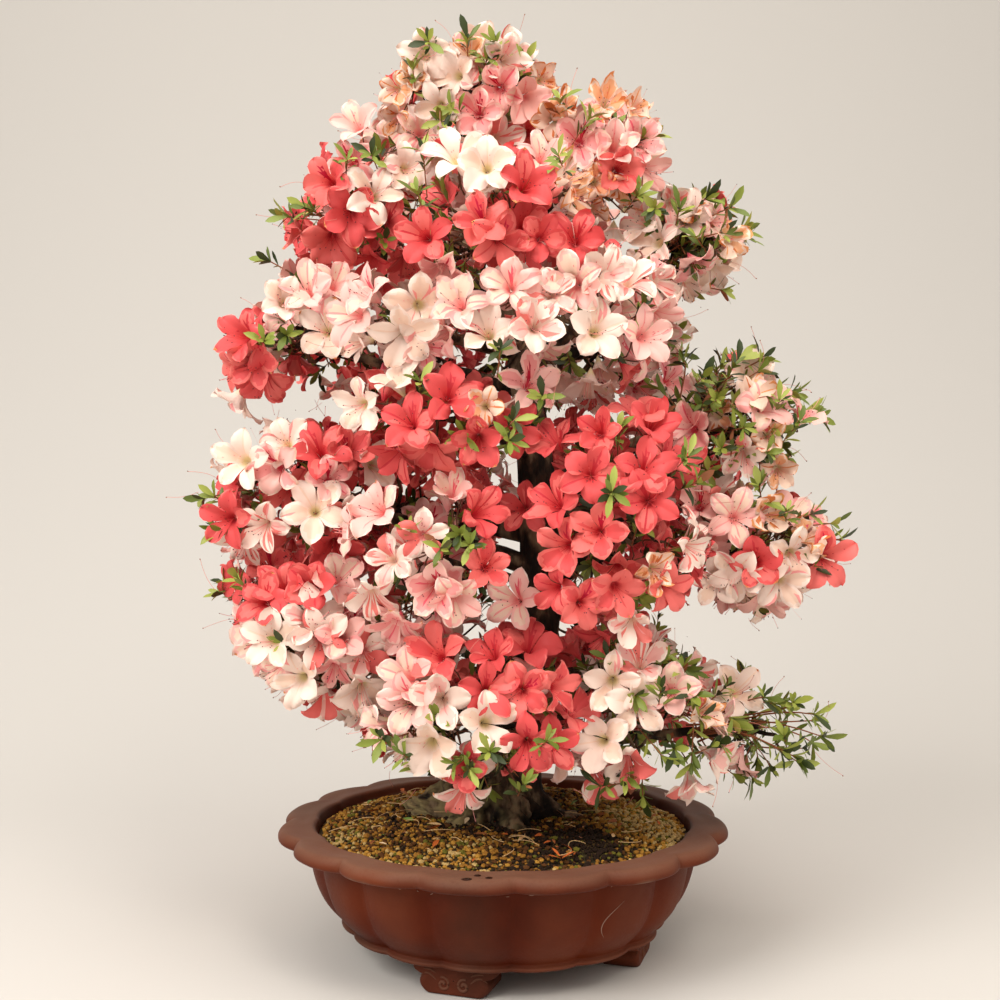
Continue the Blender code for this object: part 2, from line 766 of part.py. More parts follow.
def stem_of(name, segments):
    """Start, direction and radius of a mass's one stem, and the limb that it meets."""
    centre = Vector(MASSES[name][0])
    if name in TRUNK_STEMS:
        root, radius = along_line(TRUNK_STEMS[name])
        return root, (centre - root).normalized(), 0.0050, "trunk"
    if name == "foliage_apex":
        top, radius = along_line(TRUNK_LINE[-1][0])
        start = top + Vector((0.0, 0.0, CLEARANCE))
        return start, Vector((0.0, 0.0, 1.0)), radius * 0.75, "trunk"
    for bough, row in BOUGHS.items():
        if row[0] == name:
            line, radii, ahead = bough_line(bough)
            return line[-1] + ahead * CLEARANCE, ahead, radii[-1] * 0.85, bough
    return None


def spiral_directions(count, source):
    """Directions spread evenly over a ball by the golden angle, each turned a little at random."""
    golden = math.pi * (3.0 - math.sqrt(5.0))
    phase = source.uniform(0.0, math.tau)
    found = []
    for index in range(count):
        height = 1.0 - 2.0 * (index + 0.5) / count
        level = math.sqrt(1.0 - height * height)
        turn = phase + golden * index
        direction = Vector((level * math.cos(turn), level * math.sin(turn), height))
        nudge = Vector([source.uniform(-0.16, 0.16) for _ in range(3)])
        found.append((direction + nudge).normalized())
    return found


def openness(space, direction):
    """How freely a direction leads out of the crown. Below 1 it runs into a neighbour or the trunk."""
    share = space.reach(direction) / outline_reach(direction, space.half_sizes)
    outward = Vector((space.centre.x, space.centre.y - 0.03, 0.45 * (space.centre.z - 0.42))).normalized()
    return share + 0.30 * direction.dot(outward)


def place_blossom(space, direction, segments, source, taken):
    """A blossom as far out as the space lets it stand, apart from those that are there."""
    nudge = Vector([source.uniform(-0.13, 0.13) for _ in range(3)])
    axis = (direction + nudge + Vector((0.0, -0.10, 0.12))).normalized()
    spin = source.uniform(0.0, math.tau)
    width = BLOSSOM_WIDTH * source.uniform(0.92, 1.06)
    full = space.reach(direction)
    for step in range(14):
        distance = full - 0.006 - 0.0025 * step
        centre = space.centre + direction * distance
        if any((centre - other).length < width * 0.96 for other in taken):
            continue
        points, faces = blossom(centre, axis, spin, width)
        if space.holds(points) and clear_of_limbs(points, segments):
            taken.append(centre)
            heel = centre - axis * (width * 0.14)
            return (points, faces), heel
    return None


def place_shoot(space, direction, segments, source, taken, count):
    """A whorl of leaves at the end of a twig, as far out as the space lets it stand."""
    full = space.reach(direction)
    length = LEAF_LENGTH * source.uniform(0.88, 1.12)
    for step in range(7):
        end = space.centre + direction * (full * (0.90 - 0.06 * step))
        if any((end - other).length < length * 1.35 for other in taken):
            continue
        leaves = whorl(end, direction, count, length, source)
        if space.holds(leaves[0]) and clear_of_limbs(leaves[0], segments):
            taken.append(end)
            return leaves, end
    return None


def build_mass(name, segments, cutter):
    """One mass: a stem that forks into twigs, with blossoms and whorls of leaves at their ends."""
    centre, half_sizes, blossoms, shoots, colour, seed = MASSES[name]
    source = random.Random(seed)
    space = Space(name)
    for start, end, radius, owner in segments:
        near = nearest_on(start, end, space.centre)
        across = near - space.centre
        if across.length < max(half_sizes) * 1.3:
            limit = across.length - radius - CLEARANCE * 2
            space.core_fences.append((across.normalized(), limit))
    pieces = [core_of(space, source)]
    start, ahead, radius, host = stem_of(name, segments)
    heart = space.centre.copy()
    pieces.append(tapered_rod(start, start + ahead * (heart - start).length, radius, radius * 0.6, 5))
    wanted = blossoms + shoots
    options = spiral_directions(90, source)
    options = [direction for direction in options if openness(space, direction) > 0.82]
    options.sort(key=lambda direction: -openness(space, direction))
    taken = []
    blossoms_left = blossoms
    shoots_left = shoots
    for direction in options:
        if blossoms_left <= 0 and shoots_left <= 0:
            break
        total = blossoms_left + shoots_left
        flower = source.random() < blossoms_left / total
        full = space.reach(direction)
        fork = heart + direction * (0.30 * full)
        if flower:
            placed = place_blossom(space, direction, segments, source, taken)
            if placed is None:
                continue
            piece, heel = placed
            twig = tapered_rod(fork, heel, TWIG_RADIUS * 1.15, TWIG_RADIUS, 3, source.uniform(0, 2))
            tail = piece[0][16]
            inside = (tail - heart).length < space.core_reach((tail - heart).normalized()) * 0.72
            if not inside and not clear_of_limbs(twig[0], segments):
                continue
            pieces.append(piece)
            if not inside:
                pieces.append(twig)
            blossoms_left -= 1
        else:
            count = LEAFY_WHORL_LEAVES if colour == "leaf" else WHORL_LEAVES
            placed = place_shoot(space, direction, segments, source, taken, count)
            if placed is None:
                continue
            piece, end = placed
            twig = tapered_rod(fork, end, TWIG_RADIUS * 1.15, TWIG_RADIUS * 0.8, 3, source.uniform(0, 2))
            if not clear_of_limbs(twig[0], segments) or not space.holds(twig[0]):
                continue
            pieces.append(twig)
            pieces.append(piece)
            shoots_left -= 1
    item = join_pieces(name, pieces)
    if name in TRUNK_STEMS:
        cut_by(item, cutter)
    return finish(item, plain_material(name + "_tint", colour, 0.6))


def stand_on_origin(items):
    """Move the whole plant so that the middle of its outer box stands over the origin."""
    corners = [vertex.co for item in items for vertex in item.data.vertices]
    middle_x = (min(corner.x for corner in corners) + max(corner.x for corner in corners)) / 2
    middle_y = (min(corner.y for corner in corners) + max(corner.y for corner in corners)) / 2
    shift = Vector((-middle_x, -middle_y, 0.0))
    for item in items:
        for vertex in item.data.vertices:
            vertex.co += shift
        item.data.update()


def main():
    clear_scene()
    items = [build_pot(), build_soil(), build_trunk()]
    items += [build_foot(index) for index in range(FOOT_COUNT)]
    cutter = trunk_cutter()
    items += [build_bough(name, cutter) for name in BOUGHS]
    segments = limb_segments()
    items += [build_mass(name, segments, cutter) for name in MASSES]
    bpy.data.objects.remove(cutter, do_unlink=True)
    stand_on_origin(items)


main()
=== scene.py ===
"""The finished look of an azalea bonsai in full bloom, in a round lobed clay pot on scroll feet.

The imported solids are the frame. Every finished piece is worked out from the same named sizes as
those solids and takes the place of the solid that it stands for. Sizes are in metres, Z is up, and
the front of the tree faces -Y. Bearings turn from the front to the right.
"""

import logging
import math
from dataclasses import dataclass, field
from enum import Enum

import bpy
import numpy as np
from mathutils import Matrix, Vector


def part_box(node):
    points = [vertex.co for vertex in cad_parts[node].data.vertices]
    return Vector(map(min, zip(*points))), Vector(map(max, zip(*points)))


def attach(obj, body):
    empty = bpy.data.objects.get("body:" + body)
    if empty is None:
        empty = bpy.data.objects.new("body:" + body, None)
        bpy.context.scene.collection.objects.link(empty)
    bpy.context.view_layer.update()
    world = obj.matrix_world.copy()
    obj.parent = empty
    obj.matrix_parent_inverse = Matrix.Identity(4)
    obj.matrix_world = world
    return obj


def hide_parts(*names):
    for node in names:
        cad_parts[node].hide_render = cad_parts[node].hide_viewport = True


LOG = logging.getLogger("azalea")
Array = np.ndarray
Triple = tuple[float, float, float]
Random = np.random.Generator
Material = bpy.types.Material
Socket = bpy.types.NodeSocket
UP = np.array([0.0, 0.0, 1.0])

# Pot
LOBES = 16
COLUMNS_PER_LOBE = 22
FIRST_CUSP = math.radians(2.5)
BOWL_BOTTOM_Z = 0.027
MOUTH_RADIUS = 0.185
FOOT_COUNT = 4
FIRST_FOOT = math.radians(-18)
FOOT_WIDTH = 0.078
FOOT_INNER_RADIUS = 0.108
FOOT_OUTER_RADIUS = 0.142

# Soil and trunk
CLEARANCE = 0.0003
SOIL_EDGE_Z = 0.1165
SOIL_TOP_Z = 0.1270
SOIL_FLAT_RADIUS = 0.112
SOIL_RADIUS = MOUTH_RADIUS - 0.0062
GRAIN_PITCH = 0.00375
TRUNK_FOOT_Z = SOIL_TOP_Z + CLEARANCE

# Crown: the squareness is the power of the rooms' rounded boxes
FOLIAGE_FLOOR_Z = 0.1520
SQUARENESS = 2.7
BLOSSOM_RADIUS = 0.0268
LEAF_LENGTH = 0.0185
BLOSSOMS_IN_PIECE = 235
EXAMPLES = 16
# Farthest back for a blossom's face, and how far from the middle the bare pistils may stand
FARTHEST_BACK = 0.2030
PISTIL_LIMITS = (0.338, 0.228, 0.925)
# Rays from the front start this far before the pot's axis and look this far in steps of 1 mm
RAY_START = -0.24
RAY_REACH = 0.30
RAY_STEP = 0.001
# Left, right, low and high sides of the place where the trunk shows, in millimetres on its plane,
# and the last step at which a blossom still stands before the trunk there
TRUNK_SHOWS = (-40, 60, 260, 600)
BEFORE_TRUNK = 182
# Start of the search for what is seen through the gaps, behind the trunk
BEHIND_TRUNK = 0.045

# Camera, from the pot's axis
EYE = np.array([-0.003, -1.152, 0.405])

# Height, centre and mean radius of the trunk
TRUNK_LINE = np.array([
    (TRUNK_FOOT_Z, -0.006, 0.000, 0.0600), (0.142, -0.005, 0.000, 0.0460), (0.165, 0.001, 0.001, 0.0345),
    (0.205, 0.015, 0.003, 0.0275), (0.260, 0.028, 0.004, 0.0235), (0.330, 0.035, 0.004, 0.0212),
    (0.410, 0.035, 0.003, 0.0195), (0.490, 0.030, 0.002, 0.0175), (0.560, 0.022, 0.003, 0.0155),
    (0.630, 0.010, 0.004, 0.0130), (0.700, -0.004, 0.002, 0.0105), (0.765, -0.014, 0.000, 0.0078),
])

# Bearing in degrees, reach and width of the root buttresses
BUTTRESSES = (
    (-94, 1.40, 0.34), (-40, 0.55, 0.30), (18, 0.70, 0.30),
    (84, 1.15, 0.32), (150, 0.70, 0.36), (214, 0.60, 0.34),
)

# Along a petal, from throat to tip: share of its length, reach and rise when open, reach and rise
# when shut, and half width beyond the funnel, against a blossom's radius of one
PETAL_SHAPE = np.array([
    (0.0, 0.20, 0.37, 0.50, 0.62, 0.74, 0.85, 0.94, 1.0),
    (0.020, 0.115, 0.245, 0.390, 0.545, 0.700, 0.840, 0.945, 1.0),
    (-0.60, -0.40, -0.17, 0.00, 0.09, 0.14, 0.15, 0.12, 0.07),
    (0.020, 0.110, 0.215, 0.315, 0.425, 0.530, 0.630, 0.700, 0.740),
    (-0.62, -0.38, -0.10, 0.09, 0.25, 0.38, 0.49, 0.56, 0.60),
    (0.0, 0.0, 0.0, 0.250, 0.338, 0.350, 0.272, 0.140, 0.010),
])
PETAL_ACROSS = np.array([-1.0, -0.70, -0.38, -0.09, 0.09, 0.38, 0.70, 1.0])

# Radius, height and groove depth in tenths of a millimetre, and dust in tenths, along the bowl from
# underneath over the rim to the inside
BOWL_PROFILE = np.array([
    (1000, 272, 0, 0), (1440, 272, 24, 0), (1545, 274, 40, 1), (1580, 290, 48, 2), (1584, 312, 48, 3),
    (1562, 330, 44, 1), (1566, 352, 44, 0), (1620, 400, 48, 0), (1690, 470, 52, 0), (1765, 570, 56, 0),
    (1825, 700, 56, 0), (1866, 840, 56, 0), (1886, 960, 54, 0), (1894, 1040, 52, 0), (1906, 1082, 52, 0),
    (1950, 1104, 56, 0), (2060, 1106, 72, 0), (2140, 1112, 86, 0), (2184, 1134, 98, 1), (2195, 1162, 102, 2),
    (2188, 1192, 102, 5), (2165, 1222, 98, 8), (2128, 1238, 88, 10), (2060, 1239, 70, 10),
    (1980, 1234, 50, 10),
    (1905, 1236, 36, 10), (1866, 1234, 30, 9), (1842, 1218, 27, 6), (1832, 1190, 20, 3), (1812, 1120, 8, 1),
    (1800, 1050, 0, 0), (1720, 800, 0, 0),
]) / np.array([1e4, 1e4, 1e4, 10.0])


class Tint(Enum):
    """Every plain colour of a blossom, as red, green and blue from 0 to 255."""

    CORAL = (219, 80, 80)
    # Deeper coral of throats, veins and flecks: partly the petals' own colour, partly painted shade in the
    # throat.
    CORAL_DEEP = (202, 50, 60)
    # Lighter coral of washes, margins and stripes: partly the petals' own paler parts, partly painted light
    # where lit, thin petals glow.
    CORAL_LIGHT = (233, 110, 104)
    SALMON = (237, 127, 118)
    CRIMSON = (190, 22, 56)
    WHITE = (244, 219, 205)
    CREAM = (242, 209, 188)
    BLUSH = (246, 190, 180)
    PINK = (242, 156, 152)
    ROSE = (232, 96, 112)
    PEACH = (244, 180, 136)
    RUST = (208, 116, 62)
    STRAW = (232, 216, 168)
    BROWNED = (228, 154, 98)
    FILAMENT = (242, 160, 154)
    ANTHER = (86, 34, 40)

    @property
    def number(self) -> int:
        """Place of the colour among the blossoms' materials."""
        return list(Tint).index(self)


class LeafTint(Enum):
    """The plain colours of the leaves."""

    YOUNG = (160, 168, 76)
    FRESH = (128, 140, 54)
    MIDDLE = (98, 112, 40)
    DARK = (54, 66, 28)
    RED = (150, 88, 54)
    STYLE = (224, 142, 128)


class Grain(Enum):
    """Plain colours of the soil's grains."""

    OCHRE = (148, 102, 38)
    GOLD = (178, 130, 52)
    TAN = (188, 158, 100)
    BROWN = (88, 54, 24)
    DARK = (40, 26, 16)
    MOSS = (104, 98, 34)


class Litter(Enum):
    """Plain colours of what has fallen on the soil."""

    RUSTY = (196, 98, 38)
    BROWN = (150, 88, 44)
    STRAW = (214, 176, 124)
    GREEN = (112, 140, 60)
    PALE = (222, 196, 156)


STALK = list(LeafTint).index(LeafTint.RED)
STYLE = list(LeafTint).index(LeafTint.STYLE)
THREAD = list(Litter).index(Litter.STRAW)


@dataclass(frozen=True)
class Livery:
    """How the colours lie on one kind of blossom, and how often each mark is seen."""

    base: Tint
    wash: Tint
    margin: Tint
    throat: Tint
    vein: Tint
    fleck: Tint
    stripe: Tint
    washed: float
    edged: float
    veined: float
    flecked: float
    striped: float
    parted: float = 0.0


class Bloom(Enum):
    """The kinds of blossom on the plant."""

    CORAL = Livery(
        Tint.CORAL, Tint.CORAL_LIGHT, Tint.CORAL_LIGHT, Tint.CORAL_DEEP, Tint.CORAL_DEEP, Tint.CORAL_DEEP,
        Tint.CORAL_LIGHT, 0.40, 0.50, 0.35, 0.80, 0.2,
    )
    BRIGHT = Livery(
        Tint.CORAL_LIGHT, Tint.CORAL, Tint.SALMON, Tint.CORAL_DEEP, Tint.CORAL, Tint.CRIMSON,
        Tint.CORAL, 0.40, 0.50, 0.35, 0.75, 0.3,
    )
    WHITE = Livery(
        Tint.WHITE, Tint.CREAM, Tint.WHITE, Tint.STRAW, Tint.CREAM, Tint.PINK,
        Tint.PINK, 0.45, 0.20, 0.50, 0.30, 0.35,
    )
    STRIPED = Livery(
        Tint.WHITE, Tint.BLUSH, Tint.WHITE, Tint.CREAM, Tint.PINK, Tint.ROSE,
        Tint.SALMON, 0.50, 0.20, 0.55, 0.40, 1.7, 0.12,
    )
    BLUSH = Livery(
        Tint.BLUSH, Tint.CREAM, Tint.WHITE, Tint.PINK, Tint.PINK, Tint.ROSE,
        Tint.PINK, 0.45, 0.45, 0.60, 0.45, 0.6,
    )
    ROSE_EYE = Livery(
        Tint.BLUSH, Tint.PINK, Tint.CREAM, Tint.ROSE, Tint.ROSE, Tint.CRIMSON,
        Tint.PINK, 0.75, 0.50, 0.50, 0.95, 0.3,
    )
    PARTED = Livery(
        Tint.WHITE, Tint.BLUSH, Tint.WHITE, Tint.PINK, Tint.BLUSH, Tint.CRIMSON,
        Tint.CORAL_LIGHT, 0.40, 0.20, 0.40, 0.45, 0.9, 0.52,
    )
    FADED = Livery(
        Tint.CREAM, Tint.PEACH, Tint.BROWNED, Tint.STRAW, Tint.BROWNED, Tint.ROSE,
        Tint.RUST, 0.60, 0.90, 0.60, 0.30, 1.5,
    )


BLOOMS = tuple(Bloom)


class Mix(Enum):
    """Shares of the kinds of blossom in a mass, in the order of the kinds above."""

    CORAL = (7.0, 4.0, 0.15, 0.15, 0.3, 0.4, 0.3, 0.1)
    CORAL_BLUSH = (4.6, 3.4, 0.7, 0.9, 1.6, 1.0, 0.7, 0.2)
    WHITE_BLUSH = (0.25, 0.45, 2.7, 2.4, 3.6, 1.1, 0.5, 0.3)
    BLUSH = (0.5, 0.8, 1.6, 1.4, 4.4, 1.8, 0.5, 0.5)
    FADING = (0.1, 0.6, 2.6, 2.0, 2.6, 1.5, 0.3, 2.6)
    SPRIG = (0.1, 0.4, 2.4, 1.6, 3.0, 1.0, 0.2, 1.6)
    STRIPED = (5.2, 3.8, 0.1, 0.8, 0.8, 1.6, 2.2, 0.2)
    PINK = (1.4, 2.2, 0.5, 2.2, 2.6, 3.0, 2.0, 0.3)


# Places of the blossoms and leafy sprigs that stand out from the front. Each is seen through the
# plane that holds the trunk: millimetres right of the pot's axis, and above the feet.
SEEN_BLOSSOMS = {
    Bloom.CORAL: (
        (-153, 726), (-118, 716), (-133, 676), (-183, 676), (24, 756), (39, 702), (72, 700),
        (-263, 603), (-241, 558), (-25, 498), (-93, 516), (-105, 482), (52, 498), (97, 508), (152, 518),
        (142, 470), (-190, 350), (-183, 488), (-275, 418), (-168, 390), (-223, 353), (-241, 338),
        (-23, 426), (22, 430), (52, 348), (87, 463), (147, 438), (-11, 286), (67, 293), (27, 298),
        (-16, 248), (25, 193), (254, 374), (-53, 543), (-78, 703),
    ),
    Bloom.BRIGHT: (
        (-173, 698), (-176, 760), (27, 806), (-21, 718), (-3, 698), (-251, 575), (134, 530),
        (-153, 486), (-203, 378), (-16, 372), (59, 390), (95, 406), (79, 333), (114, 348), (165, 348),
        (-66, 283), (19, 248), (57, 250), (322, 378), (-71, 486), (117, 770),
    ),
    Bloom.WHITE: (
        (-129, 746), (-79, 888), (-48, 868), (289, 382), (212, 356), (-16, 775), (-48, 788), (-98, 773),
        (-16, 606), (94, 608), (-178, 608), (-220, 638), (-83, 633), (-98, 603), (-267, 538),
        (-108, 560), (-143, 533), (87, 552), (-188, 428), (-263, 478), (-218, 498), (-138, 248),
        (-73, 191), (-15, 215), (109, 255), (134, 233), (97, 197), (232, 248), (232, 363), (277, 356),
        (-203, 258), (-233, 298), (137, 718), (152, 698), (-128, 473),
    ),
    Bloom.STRIPED: (
        (32, 613), (49, 646), (127, 660), (102, 663), (-241, 410), (-191, 320), (-63, 238), (-113, 378),
        (-38, 143), (187, 153), (137, 278), (2, 883), (187, 390), (212, 446), (240, 482),
    ),
    Bloom.BLUSH: (
        (-83, 808), (-148, 820), (-168, 655), (-138, 646), (-153, 626), (7, 653), (72, 656), (-48, 638),
        (-63, 603), (142, 603), (112, 796), (147, 773), (22, 843), (42, 788), (-128, 430), (-163, 360),
        (-161, 301), (232, 420), (262, 533), (-98, 263), (-93, 236), (-48, 338), (12, 338), (-198, 648),
        (167, 248),
    ),
    Bloom.ROSE_EYE: (
        (-3, 854), (-25, 828), (29, 554), (77, 800), (137, 800), (-78, 590), (-228, 468), (-105, 312),
        (-68, 348), (187, 508), (197, 433), (-173, 458),
    ),
    Bloom.PARTED: (
        (124, 173), (-183, 300), (-138, 286),
    ),
    Bloom.FADED: (
        (-108, 853), (-108, 823), (42, 863), (77, 745), (132, 833), (-18, 532), (202, 226), (152, 368),
        (306, 400), (104, 842), (92, 758), (122, 752), (60, 838), (50, 822), (-90, 868), (88, 728),
        (228, 700), (66, 762), (252, 545), (266, 502), (276, 466), (262, 424),
    ),
}
SEEN_SPRIGS = (
    (-241, 598), (-218, 603), (-88, 750), (-43, 403), (-33, 393), (-63, 390), (109, 446), (12, 518),
    (42, 543), (7, 498), (-101, 183), (-48, 173), (-33, 168), (-13, 186), (22, 153), (45, 198),
    (95, 153), (139, 138), (187, 278), (157, 248), (-76, 903), (-36, 908), (-8, 905), (32, 889),
    (57, 843), (87, 823), (232, 574), (199, 561), (280, 540), (219, 489), (243, 510), (266, 484),
    (257, 456), (200, 456), (284, 430), (186, 482), (298, 516), (214, 540), (152, 810), (-203, 733),
    (-218, 723), (-158, 783), (-133, 788), (-93, 878), (-307, 441), (-291, 403), (-290, 361),
    (-268, 363), (-125, 198), (-63, 820), (-53, 833), (57, 788), (137, 743), (152, 733), (-3, 588),
)

# Outline of the crown from the front, on the same plane, and the tips of the shoots that reach it
OUTLINE = (
    (-125, 172), (-141, 186), (-141, 205), (-155, 203), (-172, 220), (-195, 226), (-215, 233),
    (-226, 252), (-248, 262), (-247, 283), (-263, 300), (-278, 323), (-286, 336), (-300, 351),
    (-281, 365), (-277, 385), (-286, 393), (-299, 405), (-287, 418), (-293, 431), (-319, 438),
    (-298, 458), (-291, 480), (-283, 494), (-263, 498), (-245, 498), (-239, 508), (-241, 523),
    (-263, 510), (-281, 513), (-294, 523), (-297, 543), (-290, 558), (-284, 570), (-279, 598),
    (-267, 620), (-251, 625), (-248, 640), (-233, 646), (-231, 663), (-213, 676), (-217, 690),
    (-245, 693), (-241, 713), (-235, 723), (-223, 736), (-207, 746), (-209, 762), (-196, 780),
    (-173, 786), (-161, 793), (-161, 808), (-155, 830), (-143, 836), (-128, 843), (-127, 856),
    (-115, 872), (-103, 882), (-97, 898), (-91, 908), (-73, 916), (-55, 910), (-41, 920), (-23, 922),
    (2, 914), (12, 906), (34, 902), (29, 892), (51, 880), (57, 860), (69, 848), (87, 836), (95, 852),
    (112, 840), (133, 850), (142, 833), (164, 813), (155, 801), (156, 778), (149, 760), (152, 753),
    (197, 750), (212, 755), (225, 752), (239, 738), (239, 723), (257, 716), (259, 703), (252, 690),
    (237, 686), (232, 673), (224, 660), (228, 638), (202, 640), (179, 626), (187, 616), (200, 600),
    (199, 586), (209, 578), (215, 590), (242, 593), (265, 586), (267, 570), (282, 558), (303, 553),
    (303, 540), (319, 534), (335, 522), (325, 508), (309, 502), (287, 502), (295, 486), (295, 468),
    (283, 455), (297, 436), (327, 432), (349, 420), (357, 395), (335, 390), (333, 363), (309, 343),
    (297, 338), (275, 326), (242, 308), (222, 320), (212, 333), (195, 338), (177, 336), (173, 326),
    (159, 318), (161, 303), (177, 298), (187, 283), (212, 276), (227, 270), (237, 278), (255, 270),
    (259, 258), (249, 246), (295, 240), (302, 230), (319, 228), (331, 206), (329, 196), (312, 183),
    (292, 166), (265, 163), (253, 148), (232, 153), (209, 148), (202, 123), (137, 103), (-33, 103),
    (-103, 148),
)
SHOOT_TIPS = (
    (333, 522), (300, 552), (265, 590), (238, 590), (354, 398), (347, 418), (322, 430), (330, 200),
    (320, 226), (296, 240), (302, 170), (270, 164), (262, 246), (284, 184), (248, 152), (226, 156),
    (257, 702), (238, 738), (-316, 438), (-298, 352), (-297, 405), (-243, 692), (-234, 724), (163, 812),
    (228, 640), (-140, 190), (256, 320),
)

# Blossoms and sprigs seen through the gaps, on the far side of the trunk
BEHIND_BLOSSOMS = (
    (-14, 520), (8, 548), (-16, 440), (-4, 468), (12, 455), (2, 430), (22, 424), (-4, 398), (20, 372),
    (-14, 356), (60, 470), (66, 516), (4, 330), (-50, 296), (66, 382), (-52, 540), (40, 562),
)
BEHIND_SPRIGS = (
    (0, 500), (14, 530), (-2, 446), (12, 404), (-10, 380), (8, 356), (-20, 338), (22, 342), (70, 350),
    (52, 540), (-8, 560), (18, 448), (-22, 494),
)

# Openings in the crown on the same plane: middle, half width, half height, and whether nothing may
# stand behind them either, so that the backdrop shows
WINDOWS = (
    (-202, 537, 22, 9, True), (9, 470, 12, 7, True), (48, 321, 7, 10, True), (-27, 302, 9, 9, True),
    (180, 318, 30, 16, True), (27, 356, 12, 50, False), (34, 482, 10, 16, False),
    (-33, 576, 26, 12, False), (76, 592, 8, 12, False), (-46, 712, 10, 20, False),
    (78, 520, 22, 8, False), (-100, 428, 12, 12, False), (-181, 572, 24, 10, False),
    (-90, 138, 28, 26, False), (27, 128, 40, 24, False),
)


@dataclass(frozen=True)
class Mass:
    """One mass of foliage: its room in millimetres, the share that flowers, and its kinds of blossom."""

    name: str
    centre: tuple[int, int, int]
    half: tuple[int, int, int]
    bloom: float
    mix: Mix


MASSES = (
    Mass("apex", (-40, 0, 836), (104, 98, 82), 0.90, Mix.FADING),
    Mass("upper_left", (-131, -20, 724), (86, 108, 79), 0.92, Mix.CORAL_BLUSH),
    Mass("upper_right", (87, 0, 768), (74, 104, 80), 0.90, Mix.FADING),
    Mass("upper_front", (-12, -110, 682), (94, 90, 78), 0.97, Mix.CORAL),
    Mass("right_shoulder", (180, -5, 698), (72, 92, 66), 0.62, Mix.SPRIG),
    Mass("left_shelf", (-194, -30, 598), (90, 104, 70), 0.93, Mix.WHITE_BLUSH),
    Mass("front_shelf", (40, -118, 601), (120, 90, 75), 0.98, Mix.WHITE_BLUSH),
    Mass("left_drape", (-91, -98, 594), (64, 88, 57), 0.90, Mix.WHITE_BLUSH),
    Mass("left_bank", (-199, -25, 445), (110, 114, 82), 0.97, Mix.STRIPED),
    Mass("left_skirt", (-179, -40, 307), (98, 110, 87), 0.97, Mix.PINK),
    Mass("front_upper", (-43, -105, 509), (105, 86, 55), 0.95, Mix.CORAL),
    Mass("front_right", (98, -118, 413), (81, 88, 115), 0.96, Mix.CORAL),
    Mass("front_left", (-63, -108, 384), (85, 88, 82), 0.84, Mix.BLUSH),
    Mass("right_shelf", (230, 0, 513), (97, 102, 78), 0.58, Mix.SPRIG),
    Mass("right_bank", (243, -10, 394), (100, 104, 73), 0.82, Mix.BLUSH),
    Mass("front_skirt", (-23, -105, 242), (107, 90, 85), 0.94, Mix.CORAL),
    Mass("right_skirt", (124, -60, 243), (100, 98, 80), 0.40, Mix.SPRIG),
    Mass("right_tip", (246, -15, 216), (81, 80, 53), 0.10, Mix.SPRIG),
    Mass("back_upper", (-20, 115, 718), (108, 92, 96), 0.86, Mix.BLUSH),
    Mass("back_left_high", (-118, 112, 615), (118, 98, 76), 0.90, Mix.CORAL),
    Mass("back_right_high", (124, 110, 622), (118, 98, 88), 0.86, Mix.WHITE_BLUSH),
    Mass("back_left", (-120, 122, 430), (124, 104, 86), 0.90, Mix.CORAL_BLUSH),
    Mass("back_right", (148, 120, 450), (122, 104, 88), 0.90, Mix.CORAL),
    Mass("back_left_low", (-112, 115, 262), (118, 100, 84), 0.90, Mix.WHITE_BLUSH),
    Mass("back_right_low", (122, 118, 262), (116, 100, 82), 0.90, Mix.CORAL_BLUSH),
)
NAMES = [mass.name for mass in MASSES]
CENTRES = np.array([mass.centre for mass in MASSES]) / 1000
HALVES = np.array([mass.half for mass in MASSES]) / 1000
FLOWERING = np.array([mass.bloom for mass in MASSES])
LEAFY = np.array([mass.mix is Mix.SPRIG for mass in MASSES])


@dataclass(frozen=True)
class Bough:
    """The limb of a mass: where it leaves the trunk and bends, in millimetres, and its radii in tenths."""

    height: int
    bend: tuple[int, int, int]
    root: int
    tip: int


BOUGHS = {
    "upper_left": Bough(622, (-62, -10, 676), 82, 46),
    "upper_right": Bough(676, (34, 3, 722), 66, 40),
    "right_shoulder": Bough(566, (108, -8, 640), 80, 42),
    "left_shelf": Bough(508, (-72, -22, 552), 92, 48),
    "left_drape": Bough(582, (-38, -48, 590), 74, 46),
    "front_shelf": Bough(535, (34, -30, 556), 80, 50),
    "left_bank": Bough(368, (-85, -14, 412), 105, 52),
    "left_skirt": Bough(236, (-72, -20, 268), 108, 55),
    "front_right": Bough(350, (64, -40, 366), 84, 50),
    "right_shelf": Bough(446, (128, 4, 492), 96, 48),
    "right_bank": Bough(318, (138, -2, 364), 108, 52),
    "front_skirt": Bough(200, (2, -40, 212), 90, 58),
    "right_skirt": Bough(222, (78, -26, 232), 86, 52),
    "right_tip": Bough(190, (130, 30, 196), 84, 46),
    "back_upper": Bough(640, (0, 40, 668), 70, 46),
    "back_left_high": Bough(545, (-46, 56, 574), 80, 48),
    "back_right_high": Bough(560, (70, 56, 592), 80, 48),
    "back_left": Bough(400, (-52, 60, 420), 94, 52),
    "back_right": Bough(408, (92, 62, 430), 94, 52),
    "back_left_low": Bough(262, (-42, 56, 258), 96, 56),
    "back_right_low": Bough(256, (70, 60, 256), 96, 56),
}

# Masses whose stem leaves the trunk itself, with the height of its root
TRUNK_STEMS = {"upper_front": 0.664, "front_upper": 0.478, "front_left": 0.352, "apex": 0.765}


def linear(colour: Triple) -> tuple[float, float, float, float]:
    """Turn a screen colour into the shader's linear one.

    Args:
        colour: Red, green and blue from 0 to 255.

    Returns:
        Linear red, green, blue and a full alpha.
    """
    parts = [part / 255 for part in colour]
    bent = [part / 12.92 if part <= 0.04045 else ((part + 0.055) / 1.055) ** 2.4 for part in parts]
    return bent[0], bent[1], bent[2], 1.0


def unit(vectors: Array) -> Array:
    """The same directions with length one."""
    return vectors / np.maximum(np.linalg.norm(vectors, axis=-1, keepdims=True), 1e-12)


